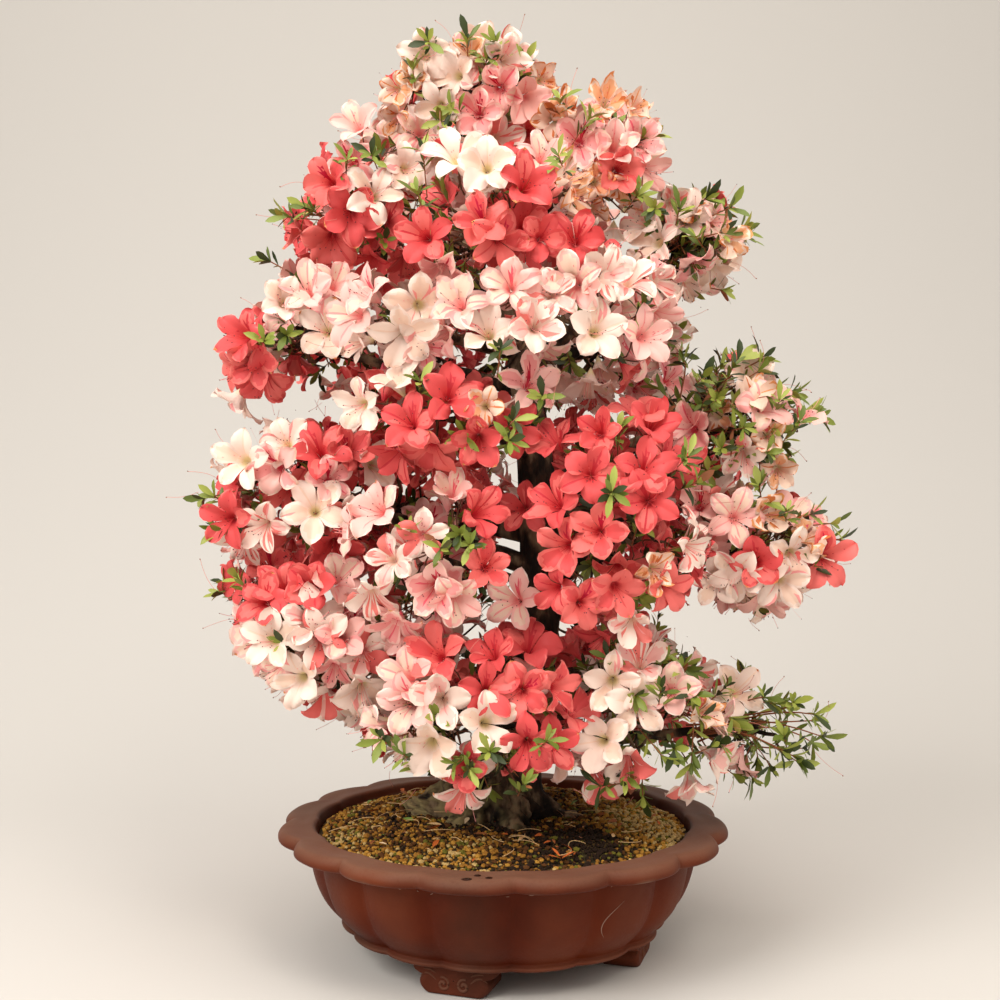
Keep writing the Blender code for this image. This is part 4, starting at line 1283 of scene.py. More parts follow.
    def stamens(
        self, parts: MeshParts, centre: Array, axis: Array, up: Array, radius: Array, filament: Array,
    ) -> None:
        """Add five stamens and a pistil to each blossom: thin strips that rise, each with a small tip.

        Args:
            parts: Where the faces go.
            centre: Centre of each blossom's face.
            axis: Direction that it faces.
            up: Direction of its upper petal.
            radius: Its radius.
            filament: Colour number of its threads.
        """
        source, count = self.source, len(centre)
        axis, up, side = (lines[:, None, None] for lines in (axis, up, np.cross(axis, up)))
        turn = math.pi + (np.arange(6) - 2.5) * 0.46 + source.normal(0, 0.12, (count, 6))
        reach = source.uniform(0.20, 0.42, (count, 6))
        length = source.uniform(0.26, 0.56, (count, 6))
        reach[:, 5] = source.uniform(0.25, 0.50, count)
        length[:, 5] = source.uniform(0.60, 1.25, count)
        step = np.array([0.0, 0.4, 0.75, 1.0])
        outward = reach[..., None] * step**0.9
        forward = -0.40 + (0.40 + length[..., None]) * step
        spread = np.cos(turn)[..., None] * outward + 0.20 * length[..., None] * step**3
        sway = np.sin(turn)[..., None] * outward
        path = spread[..., None] * up + sway[..., None] * side + forward[..., None] * axis
        path = centre[:, None, None] + path * radius[:, None, None, None]
        across = unit(np.cross(path[:, :, 1:] - path[:, :, :-1], axis))
        across = np.concatenate([across, across[:, :, -1:]], axis=2) * 0.00024
        strips = np.stack([path - across, path + across], axis=3)
        parts.add(strips, repeated(grid_faces(4, 2), 8, count * 6), np.repeat(filament, 18))
        tip = path[:, :, -1].reshape(-1, 3)
        ahead = unit(path[:, :, -1] - path[:, :, -2]).reshape(-1, 3)
        guide = unit(np.cross(ahead, np.array([0.31, 0.52, 0.79])))
        other = np.cross(ahead, guide)
        size = np.tile(np.array([0.00062] * 5 + [0.00050]), count)[:, None]
        long = np.tile(np.array([0.0012] * 5 + [0.0006]), count)[:, None]
        arms = (guide * size, other * size, -guide * size, -other * size, ahead * long, -ahead * long)
        corners = np.stack([tip + arm for arm in arms], axis=1)
        pattern = np.array([
            (0, 1, 4), (1, 2, 4), (2, 3, 4), (3, 0, 4), (1, 0, 5), (2, 1, 5), (3, 2, 5), (0, 3, 5),
        ])
        parts.add(corners, repeated(pattern, 6, len(tip)), Tint.ANTHER.number)


@dataclass
class Foliage:
    """Leaves made as small folded blades, many at once."""

    source: Random
    parts: MeshParts

    def blades(
        self, root: Array, ahead: Array, face: Array, length: Array, tint: Array, wide: float = 1.0,
    ) -> None:
        """Add one blade for each root: a grid of five rows that droops and folds along its middle.

        Args:
            root: Where each leaf is fixed.
            ahead: Direction that it points.
            face: Direction of its upper side.
            length: Its length.
            tint: Its colour number.
            wide: Width against that of a common leaf.
        """
        root, ahead, face = (lines.reshape(-1, 3) for lines in (root, unit(ahead), face))
        source, count = self.source, len(root)
        side = unit(np.cross(ahead, face))
        face = np.cross(side, ahead)[:, None]
        share = np.array([0.0, 0.28, 0.60, 0.84, 1.0])[None, :, None]
        outline = np.array([0.08, 0.60, 1.0, 0.70, 0.03])[None, :, None]
        width = wide * length * source.uniform(0.135, 0.185, count)
        droop = source.uniform(-0.05, 0.30, count)
        fold = source.uniform(0.10, 0.45, count)
        middle = root[:, None] + ahead[:, None] * (share * length[:, None, None])
        middle = middle - face * (share**2 * (droop * length)[:, None, None])
        arm = side[:, None] * (outline * width[:, None, None])
        raised = face * (outline * (fold * width)[:, None, None])
        points = np.stack([middle - arm + raised, middle, middle + arm + raised], axis=2)
        self.parts.add(points, repeated(grid_faces(5, 3), 15, count), np.repeat(tint, 8))

    def rosettes(self, tip: Array, ahead: Array, leaves: int, length: float, bright: float) -> None:
        """Add a whorl of leaves round the end of each shoot.

        Args:
            tip: End of each shoot.
            ahead: Its direction.
            leaves: Leaves in a whorl.
            length: Mean length of a leaf.
            bright: Share of young leaves.
        """
        source, count = self.source, len(tip)
        guide = unit(np.cross(ahead, np.array([0.37, 0.59, 0.72])))
        other = np.cross(ahead, guide)[:, None]
        tip, ahead = tip[:, None], ahead[:, None]
        turn = source.uniform(0, math.tau, (count, 1)) + np.arange(leaves) * math.tau / leaves
        turn = turn + source.normal(0, 0.22, (count, leaves))
        spoke = np.cos(turn)[..., None] * guide[:, None] + np.sin(turn)[..., None] * other
        direction = unit(spoke + ahead * source.uniform(0.3, 2.2, (count, leaves))[..., None])
        face = unit(ahead - direction * (direction * ahead).sum(-1, keepdims=True) + spoke * -0.15)
        root = tip - ahead * source.uniform(0.0, 0.005, (count, leaves, 1))
        size = length * source.uniform(0.60, 1.32, count * leaves)
        odds = np.array([0.55 * bright, 0.36, 0.34 * (1.2 - bright), 0.50 * (1 - bright), 0.012])
        tint = source.choice(5, count * leaves, p=odds / odds.sum())
        self.blades(root, direction, face, size, tint)

    def shoots(self, tip: Array, ahead: Array, length: Array, bright: float) -> Array:
        """Add shoots with a whorl at the end, a smaller one below it and leaves along the twig.

        Args:
            tip: End of each shoot.
            ahead: Its direction.
            length: Its length.
            bright: Share of young leaves.

        Returns:
            Where the shoots begin.
        """
        source, count, each = self.source, len(tip), 4
        self.rosettes(tip, ahead, 6, LEAF_LENGTH * 0.96, bright)
        below = tip - ahead * source.uniform(0.007, 0.013, (count, 1))
        self.rosettes(below, ahead, 3, LEAF_LENGTH * 0.80, bright * 0.5)
        share = source.uniform(0.3, 0.95, (count, each, 1))
        root = tip[:, None] - ahead[:, None] * share * length[:, None, None]
        direction = ahead[:, None] * 0.8 + unit(source.normal(size=(count, each, 3)))
        face = np.broadcast_to(ahead[:, None], direction.shape) + 0.4 * UP
        tint = source.choice(5, count * each, p=(0.18, 0.32, 0.30, 0.18, 0.02))
        size = LEAF_LENGTH * source.uniform(0.45, 1.0, count * each)
        self.blades(root, unit(direction), face, size, tint)
        start = tip - ahead * length[:, None]
        self.parts.tube(bowed(start, tip, 4), 0.0006, 4, STALK)
        return start

    def styles(self, root: Array, out: Array) -> None:
        """Add the long bare pistils that withered blossoms leave standing, each with a knob.

        Args:
            root: Where each begins.
            out: Direction out of the crown there.
        """
        source, count = self.source, len(root)
        lie = unit(out + source.normal(0, 0.35, (count, 3)))
        bend = unit(np.cross(lie, source.normal(size=(count, 3))))
        share = np.linspace(0, 1, 6)[None, :, None]
        length = source.uniform(0.014, 0.030, (count, 1, 1))
        path = root[:, None] + lie[:, None] * share * length + bend[:, None] * share**2 * length * 0.45
        self.parts.tube(path, 0.00022, 3, STYLE)
        self.parts.tube(path[:, -1:] + lie[:, None] * np.array([[[0.0], [0.0011]]]), 0.0005, 4, STALK)

    def whips(self, start: Array, tip: Array) -> None:
        """Add long thin shoots that arch out of the green masses, with small narrow leaves.

        Args:
            start: Where each begins.
            tip: Where each ends.
        """
        source, count = self.source, len(tip)
        path = bowed(start, tip, 7, source.normal(0, 0.008, (count, 1, 3)) + 0.012 * UP)
        self.parts.tube(path, np.linspace(0.0011, 0.0006, 7), 4, STALK)
        self.rosettes(tip, unit(path[:, -1] - path[:, -2]), 6, LEAF_LENGTH * 1.05, 0.6)
        for step in (2, 2, 3, 3, 4, 4, 5, 5):
            along = unit(path[:, step + 1] - path[:, step])
            root = path[:, step] + along * source.uniform(0, 0.010, (count, 1))
            lie = along * 0.9 + unit(source.normal(size=(count, 3))) * 0.8
            tint = source.choice(5, count, p=(0.10, 0.28, 0.38, 0.22, 0.02))
            size = LEAF_LENGTH * source.uniform(0.55, 1.1, count)
            self.blades(root, unit(lie), along + 0.6 * UP, size, tint, 0.62)


@dataclass
class Crown:
    """All the blossoms, leaves and twigs, mass by mass."""

    form: TreeForm
    rooms: Rooms
    source: Random = field(default_factory=lambda: np.random.default_rng(41))

    def clear(self, points: Array, gap: float) -> Array:
        """Whether points lie clear of the skin of trunk and boughs.

        Args:
            points: Places in the frame.
            gap: Least distance.

        Returns:
            A mask.
        """
        centres, radii = self.form.limb_points()
        away = np.linalg.norm(points[:, None] - centres[None], axis=2) - radii[None]
        return away.min(axis=1) > gap

    def layer(
        self, inset: float, spacing: float, fit: tuple[float, float], share: Array,
        least: tuple[float, float], window: float, gap: float, placed: Array | None = None,
        most: float | None = None,
    ) -> Sites:
        """Spread one layer of sites over the crown and thin it out.

        Args:
            inset: How far below the outline the layer lies.
            spacing: Least distance between two sites.
            fit: Distance from the outline seen from the front, and spacing of those that it moves.
            share: Share of the sites that stay, for each mass.
            least: How squarely they face out at least, in front of the trunk and behind it.
            window: How far the openings are widened.
            gap: Least distance from a limb.
            placed: Places already taken.
            most: If given, the least facing is drawn between the value above and this one.

        Returns:
            The sites that stay.
        """
        source = self.source
        sites = self.rooms.draw_in(self.rooms.sites(inset, spacing, source, placed), *fit)
        inward = np.where(sites.point[:, 1] > 0.02, least[1], least[0])
        keep = source.random(len(sites)) < share[sites.owner]
        keep &= self.rooms.facing(sites) > (inward if most is None else source.uniform(inward, most))
        return sites.chosen(keep & ~self.rooms.open_view(sites.point, window) & self.clear(sites.point, gap))

    def kinds(self, sites: Sites, placed: list[Bloom]) -> Array:
        """Choose a kind of blossom for each site, by its mass or by the placed blossom that it neighbours.

        Args:
            sites: Places of the blossoms, the placed ones first.
            placed: Kinds of the placed ones.

        Returns:
            Numbers of the kinds.
        """
        seen = self.rooms.through_plane(sites.point)
        marks = seen[:len(placed)]
        found = np.array([BLOOMS.index(bloom) for bloom in placed] + [0] * (len(seen) - len(placed)))
        for index in range(len(placed), len(seen)):
            mix = MASSES[sites.owner[index]].mix
            away = np.hypot(marks[:, 0] - seen[index, 0], marks[:, 1] - seen[index, 1])
            nearest = int(found[int(away.argmin())])
            lone = BLOOMS[nearest] in (Bloom.FADED, Bloom.PARTED, Bloom.ROSE_EYE)
            reach = 0.040 if mix in (Mix.CORAL, Mix.WHITE_BLUSH) else 0.024
            near = sites.point[index, 1] - self.form.shift[1] < 0.03 and not lone and away.min() < reach
            if near and self.source.random() < 0.70:
                found[index] = nearest
            else:
                weights = np.array(mix.value)
                found[index] = self.source.choice(len(BLOOMS), p=weights / weights.sum())
        return found

    def covering(self, points: Array, behind: Array) -> Array:
        """Whether points would hide, from the front, a placed blossom that stands behind them.

        Args:
            points: Places in the frame.
            behind: Centres of the placed blossoms.

        Returns:
            A mask.
        """
        here, there = self.rooms.through_plane(points), self.rooms.through_plane(behind)
        away = np.linalg.norm(here[:, None] - there[None], axis=2)
        return ((away < 0.025) & (points[:, None, 1] < behind[None, :, 1] + 0.004)).any(axis=1)

    def blossom_sites(self) -> tuple[Sites, Array, list[Bloom]]:
        """Choose where the blossoms stand: those seen from the front, an outer and an inner layer.

        Returns:
            The sites, a mask of those with stamens, and the kinds of the ones placed first.
        """
        placed = [bloom for bloom, places in SEEN_BLOSSOMS.items() for _ in places]
        first = self.rooms.seen(sum(SEEN_BLOSSOMS.values(), ()), 0.010)
        outer = self.layer(
            0.011, 0.0305, (0.017, 0.021), FLOWERING, (-0.8, -1.4), 0.015, 0.012, first.point, -0.1,
        )
        outer = outer.chosen(~self.covering(outer.point, first.point))
        inner = self.layer(0.041, 0.040, (0.024, 0.024), FLOWERING**2 * 0.76, (-0.4, -0.4), 0.018, 0.014)
        behind = self.rooms.seen(BEHIND_BLOSSOMS, 0.004, BEHIND_TRUNK)
        LOG.info("blossoms: %d placed, %d outer, %d inner", len(placed), len(outer), len(inner))
        joined = Sites.joined(first, outer, inner, behind)
        return joined, np.arange(len(joined)) < len(first) + len(outer), placed

    def build_blossoms(self) -> tuple[Array, Array]:
        """Make every blossom and the pieces that hold them.

        Those placed first turn more to the front, and those at the top turn down a little.

        Returns:
            Heels of the blossoms and the masses that they belong to.
        """
        source = self.source
        sites, outer, placed = self.blossom_sites()
        count = len(sites)
        first = np.arange(count) < len(placed)
        stray = np.where(first, 0.28, 0.42)[:, None]
        ahead = np.clip(0.5 - sites.out[:, 1], 0.0, 1.0)
        front = (ahead * np.where(first, 0.50, 0.26))[:, None]
        high = (np.clip((sites.point[:, 2] - 0.70) / 0.12, 0, 1) * ahead)[:, None]
        lean = front * np.array([0.0, -1.0, 0.05]) - high * np.array([0.0, 0.7, 0.6])
        axis = unit(sites.out + lean + source.normal(0, 1, (count, 3)) * stray)
        up = UP + source.normal(0, 0.28, (count, 3)) - 0.25 * sites.out
        up = unit(up - axis * (up * axis).sum(axis=1, keepdims=True))
        depth = source.uniform(-0.005, 0.013, count) * np.where(first, 0.3, 1.0)
        centre = sites.point - sites.out * depth[:, None]
        centre[:, 2] -= 0.018 * np.clip((centre[:, 2] - 0.865) / 0.045, 0, 1)
        centre[:, 1] = np.minimum(centre[:, 1], FARTHEST_BACK)
        kinds = self.kinds(sites, placed)
        radius = BLOSSOM_RADIUS * source.normal(1.0, 0.07, count) * np.where(first, 1.06, 0.96)
        closed = np.clip(source.gamma(1.6, 0.16, count), 0, 0.8)
        wilt = source.uniform(0.9, 1.3, count)
        faded = kinds == BLOOMS.index(Bloom.FADED)
        radius[faded] *= 0.76
        closed[faded] = np.clip(closed[faded] + 0.35, 0, 1)
        wilt[faded] = source.uniform(2.0, 3.2, int(faded.sum()))
        petals = Petals(source)
        points = petals.points(centre, axis, up, radius, closed, wilt)
        examples = np.stack([petals.tints(bloom, EXAMPLES) for bloom in BLOOMS])
        tints = examples[kinds, source.integers(0, EXAMPLES, count)]
        materials = finishes("petal", Tint, 0.52, 0.10, 1500.0, 0.10, 0.25, 0.05)
        order = np.argsort(sites.owner, kind="stable")
        rows, columns = points.shape[2:4]
        quads = grid_faces(rows, columns)
        triangles = np.stack([quads[:, [0, 1, 2]], quads[:, [0, 2, 3]]], axis=1).reshape(-1, 3)
        for number, masses in enumerate(self.groups(sites.owner)):
            chosen = order[np.isin(sites.owner[order], masses)]
            parts = MeshParts()
            faces = repeated(triangles, rows * columns, len(chosen) * 5)
            parts.add(points[chosen], faces, tints[chosen].reshape(-1))
            petals.flecks(parts, points[chosen], axis[chosen], kinds[chosen])
            shown = chosen[outer[chosen] & (source.random(len(chosen)) < 0.62)]
            threads = np.where(kinds[shown] < 2, Tint.CORAL.number, Tint.FILAMENT.number)
            petals.stamens(parts, centre[shown], axis[shown], up[shown], radius[shown], threads)
            nodes = [f"foliage_{NAMES[index]}" for index in masses]
            parts.finish(f"blossoms_{number + 1}", materials, "blossom_coral", *nodes)
        return centre - axis * (radius * 0.66)[:, None], sites.owner

    def groups(self, owner: Array) -> list[list[int]]:
        """Share the masses out, in their order, so that no piece holds too many blossoms.

        Args:
            owner: Mass of each blossom.

        Returns:
            Lists of masses.
        """
        groups: list[list[int]] = [[]]
        for index in range(len(MASSES)):
            if groups[-1] and int(np.isin(owner, groups[-1] + [index]).sum()) > BLOSSOMS_IN_PIECE:
                groups.append([])
            groups[-1].append(index)
        return groups

    def build_leaves(self) -> tuple[Array, Array]:
        """Make the leafy shoots, some among the blossoms and more where the crown is green.

        Returns:
            Starts of the shoots and the masses that they belong to.
        """
        source, rooms = self.source, self.rooms
        materials = finishes("leaf", LeafTint, 0.46, 0.10, 700.0, 0.18, 0.40, 0.0)
        share = np.where(LEAFY, 0.12 + 0.68 * FLOWERING, 0.56 - 0.54 * FLOWERING)
        green = self.layer(0.004, 0.027, (0.017, 0.014), share, (-0.5, -0.5), 0.006, 0.008)
        seen = rooms.draw_in(rooms.seen(SEEN_SPRIGS, -0.004), 0.010, 0.008)
        share = np.where(LEAFY, 0.10 + 0.60 * FLOWERING, 0.50)
        filling = self.layer(0.030, 0.036, (0.020, 0.020), share, (-0.5, -1.2), 0.008, 0.010)
        behind = rooms.seen(BEHIND_SPRIGS, 0.0, BEHIND_TRUNK)
        starts = []
        outer, inner = Foliage(source, MeshParts()), Foliage(source, MeshParts())
        for foliage, sites, bright, length, below in (
            (outer, green, 0.50, 0.036, 0.020), (outer, seen, 0.62, 0.026, 0.006),
            (outer, behind, 0.2, 0.026, 0.020), (inner, filling, 0.1, 0.022, 0.020),
        ):
            count = len(sites)
            ahead = unit(sites.out + source.normal(0, 0.30, (count, 3)) + 0.42 * UP)
            tip = sites.point - sites.out * source.uniform(0.0, below, (count, 1))
            tip = np.where(rooms.depth(tip, 0.0).min(axis=1)[:, None] < 1.2, tip, sites.point)
            starts.append(foliage.shoots(tip, ahead, length * source.uniform(0.7, 1.4, count), bright))
            LOG.info("shoots: %d", count)
        self.build_far_shoots(outer)
        for name, foliage in (("leaves_outer", outer), ("leaves_inner", inner)):
            foliage.parts.finish(name, materials, "green_leaf")
        return np.concatenate(starts), Sites.joined(green, seen, behind, filling).owner

    def build_far_shoots(self, foliage: Foliage) -> None:
        """Add what stands farthest out: bare pistils anywhere, and long shoots from the green masses.

        Args:
            foliage: What the shoots are added to.
        """
        source, rooms = self.source, self.rooms
        far = rooms.draw_in(rooms.sites(-0.002, 0.050, source), 0.004, 0.030)
        facing = rooms.facing(far)
        standing = (np.abs(far.point + far.out * 0.028) < np.array(PISTIL_LIMITS)).all(axis=1)
        standing &= (facing > 0.0) & (source.random(len(far)) < 0.40)
        foliage.styles(far.point[standing], far.out[standing])
        far = far.chosen(LEAFY[far.owner] & (facing > 0.2) & (far.out[:, 2] > -0.6))
        far = Sites.joined(far, rooms.seen(SHOOT_TIPS, 0.0))
        heart = rooms.centres[far.owner]
        stems = np.array([self.stem_start(index)[0] for index in range(len(MASSES))])[far.owner]
        begin = stems + (heart - stems) * 0.25 + source.normal(0, 0.006, heart.shape)
        foliage.whips(begin, far.point + (heart - far.point) * 0.14)

    def stem_start(self, index: int) -> tuple[Array, float]:
        """Where a mass's stem begins, and its radius.

        Args:
            index: Number of the mass.

        Returns:
            The start, after the shift, and the radius.
        """
        name = NAMES[index]
        if name in TRUNK_STEMS:
            centre, radius = self.form.along(TRUNK_STEMS[name])
            return centre + self.form.shift, min(radius, 0.0050)
        path, radii = self.form.bough_path(name, 6)
        return path[-2] + self.form.shift, float(radii[-1])

    def build_twigs(self, ends: Array, owner: Array, bark: Material) -> None:
        """Grow twigs from each mass's stem to its blossoms and shoots, forking twice on the way.

        Args:
            ends: Heels of blossoms and ends of shoots.
            owner: Mass of each.
            bark: Material of the thicker twigs.
        """
        thin = Finish("twig_bark", (104, 66, 46), 0.75, 0.1, 1200.0, 0.4, 0.25).build()
        parts = MeshParts()
        share = np.linspace(0, 1, 5)[:, None]
        for index in range(len(MASSES)):
            targets = ends[owner == index]
            heart = self.rooms.centres[index]
            start, radius = self.stem_start(index)
            path = start + (heart - start) * share
            path = path + self.source.normal(0, 0.002, path.shape) * np.sin(math.pi * share)
            parts.tube(path, np.linspace(radius, radius * 0.62, 5), 8)
            if not len(targets):
                continue
            forks = self.fork_points(targets, heart, max(4, len(targets) // 9), 0.48)
            self.limbs(parts, np.broadcast_to(heart, forks.shape), forks, (0.0029, 0.0018), 6, 0.006)
            knots = self.fork_points(targets, heart, max(6, len(targets) // 3), 0.76)
            self.limbs(parts, self.nearest(knots, forks), knots, (0.0017, 0.0011), 5, 0.005)
            self.limbs(parts, self.nearest(targets, knots), targets, (0.0010, 0.0006), 3, 0.004, 1)
        parts.finish("twigs", [bark, thin], "bark")

    def nearest(self, places: Array, hosts: Array) -> Array:
        """The nearest host of each place."""
        return hosts[np.linalg.norm(places[:, None] - hosts[None], axis=2).argmin(axis=1)]

    def fork_points(self, targets: Array, heart: Array, count: int, share: float) -> Array:
        """Places where twigs fork, each time on the way to the target farthest from those served.

        Args:
            targets: Ends to be served.
            heart: End of the mass's stem.
            count: Number of forks.
            share: How far out they lie.

        Returns:
            The forks.
        """
        chosen = [0]
        gap = np.linalg.norm(targets - targets[0], axis=1)
        while len(chosen) < min(count, len(targets)):
            chosen.append(int(gap.argmax()))
            gap = np.minimum(gap, np.linalg.norm(targets - targets[chosen[-1]], axis=1))
        base = heart + (targets[chosen] - heart) * share
        return base + self.source.normal(0, 0.004, base.shape)

    def limbs(
        self, parts: MeshParts, start: Array, end: Array, radii: tuple[float, float], sides: int, bow: float,
        slot: int = 0,
    ) -> None:
        """Add bowed twigs between pairs of places.

        Args:
            parts: Where the faces go.
            start: Where each begins.
            end: Where each ends.
            radii: Radius at the start and at the end.
            sides: Sides of each twig.
            bow: How far it may stray from a straight line.
            slot: Material number.
        """
        bend = self.source.normal(0, bow, (len(end), 1, 3)) - bow * 0.5 * UP
        parts.tube(bowed(start, end, 5, bend), np.linspace(*radii, 5), sides, slot)

    def build(self, bark: Material) -> None:
        """Make the blossoms, the leaves and the twigs that carry them.

        Args:
            bark: The bark of the limbs, for the thicker twigs.
        """
        heels, first = self.build_blossoms()
        tips, second = self.build_leaves()
        self.build_twigs(np.concatenate([heels, tips]), np.concatenate([first, second]), bark)


@dataclass
class Wood:
    """The trunk with its bark and roots, and the boughs."""

    form: TreeForm
    noise: Noise = field(default_factory=lambda: Noise(5))

    def material(self) -> Material:
        """Bark that runs from near black to grey brown, with moss on the roots."""
        return MottledFinish(
            "bark", (26, 18, 12), (62, 45, 32), (124, 104, 80), (140, 124, 84), 0.86, 64.0, 300.0, 1.0,
            0.0014, 0.45, 0.25, 1.7,
        ).build()

    def build_trunk(self, bark: Material) -> None:
        """Make the trunk as a fine grid with plates and cracks, and knots and strands at its foot.

        Args:
            bark: Its material.
        """
        columns = 200
        low = TRUNK_FOOT_Z + 0.075 * np.linspace(0, 1, 80) ** 1.3
        heights = np.concatenate([low, np.linspace(low[-1], TRUNK_LINE[-1, 0], 150)[1:]])
        bearing = np.arange(columns) * math.tau / columns
        around = toward(bearing)
        mound = np.exp(-((apart(bearing, -1.52) / 0.52) ** 2))
        rows, moss = [], []
        for number, height in enumerate(heights):
            centre, mean = self.form.along(float(height))
            spread = math.exp(-(height - TRUNK_FOOT_Z) / 0.034)
            skin = centre + around * self.form.trunk_radius(float(height), bearing)[:, None]
            fine = skin * np.array([62.0, 62.0, 20.0])
            plates = self.noise.layered(fine, 3)
            cracks = np.clip(1.0 - np.abs(self.noise.value(fine * 1.3 + 40.0)) * 2.6, 0, 1) ** 2
            strands = 1.0 - 2.0 * np.abs(self.noise.layered(skin * np.array([38.0, 38.0, 26.0]) + 9.0, 3))
            lumps = self.noise.layered(skin * 70.0, 4)
            knobs = self.noise.layered(skin * 165.0 + 3.0, 3)
            upright = mean * (0.050 * plates - 0.080 * cracks) + 0.020 * mound * 4.0 * spread * (1.0 - spread)
            gnarled = spread * (0.0085 * strands - 0.0060 + 0.0050 * lumps + 0.0036 * knobs - 0.004 * cracks)
            place = skin + around * (upright + gnarled)[:, None]
            place[:, 2] += gnarled * 0.7 * min(1.0, number / 8)
            place[:, 2] = np.maximum(place[:, 2], TRUNK_FOOT_Z - 0.006) - (0.006 if number == 0 else 0.0)
            rows.append(place + self.form.shift)
            green = np.clip(0.55 - around[:, 0] * 0.9, 0, 1)
            green = green * np.clip(0.55 + 1.5 * knobs + 0.5 * lumps, 0, 1.2)
            moss.append(np.clip(spread * 1.25 * green, 0, 1))
        parts = MeshParts()
        parts.add(np.array(rows), grid_faces(len(rows), columns, True), 0, np.array(moss))
        parts.finish("trunk_bark_relief", [bark], "bark", "trunk")

    def build_boughs(self, bark: Material) -> None:
        """Make every bough as a fine tube, made knotty by noise along and round it.

        Args:
            bark: Its material.
        """
        sides = 16
        turn = np.arange(sides)[None] * math.tau / sides
        parts = MeshParts()
        for index, name in enumerate(BOUGHS):
            path, radii = self.form.bough_path(name, 18)
            step = np.arange(len(path))[:, None]
            line = np.concatenate([step * 0.30, step * 0 + index * 3.1, step * 0.0], axis=1)
            wave = self.noise.layered(line, 2)
            place = (np.cos(turn) * 1.6, np.sin(turn) * 1.6, step * 0.42 + index * 9.0)
            knots = self.noise.layered(np.stack(np.broadcast_arrays(*place), axis=-1), 3)
            wide = radii[:, None] * (1.0 + 0.10 * wave[:, None] + 0.14 * knots)
            parts.tube(path + self.form.shift, wide[None], sides, 0, 0.001)
        parts.finish("boughs", [bark], "bark", *[f"bough_{name}" for name in BOUGHS])

    def build(self) -> Material:
        """Make trunk and boughs and hand back their bark, for the twigs."""
        bark = self.material()
        self.build_trunk(bark)
        self.build_boughs(bark)
        return bark


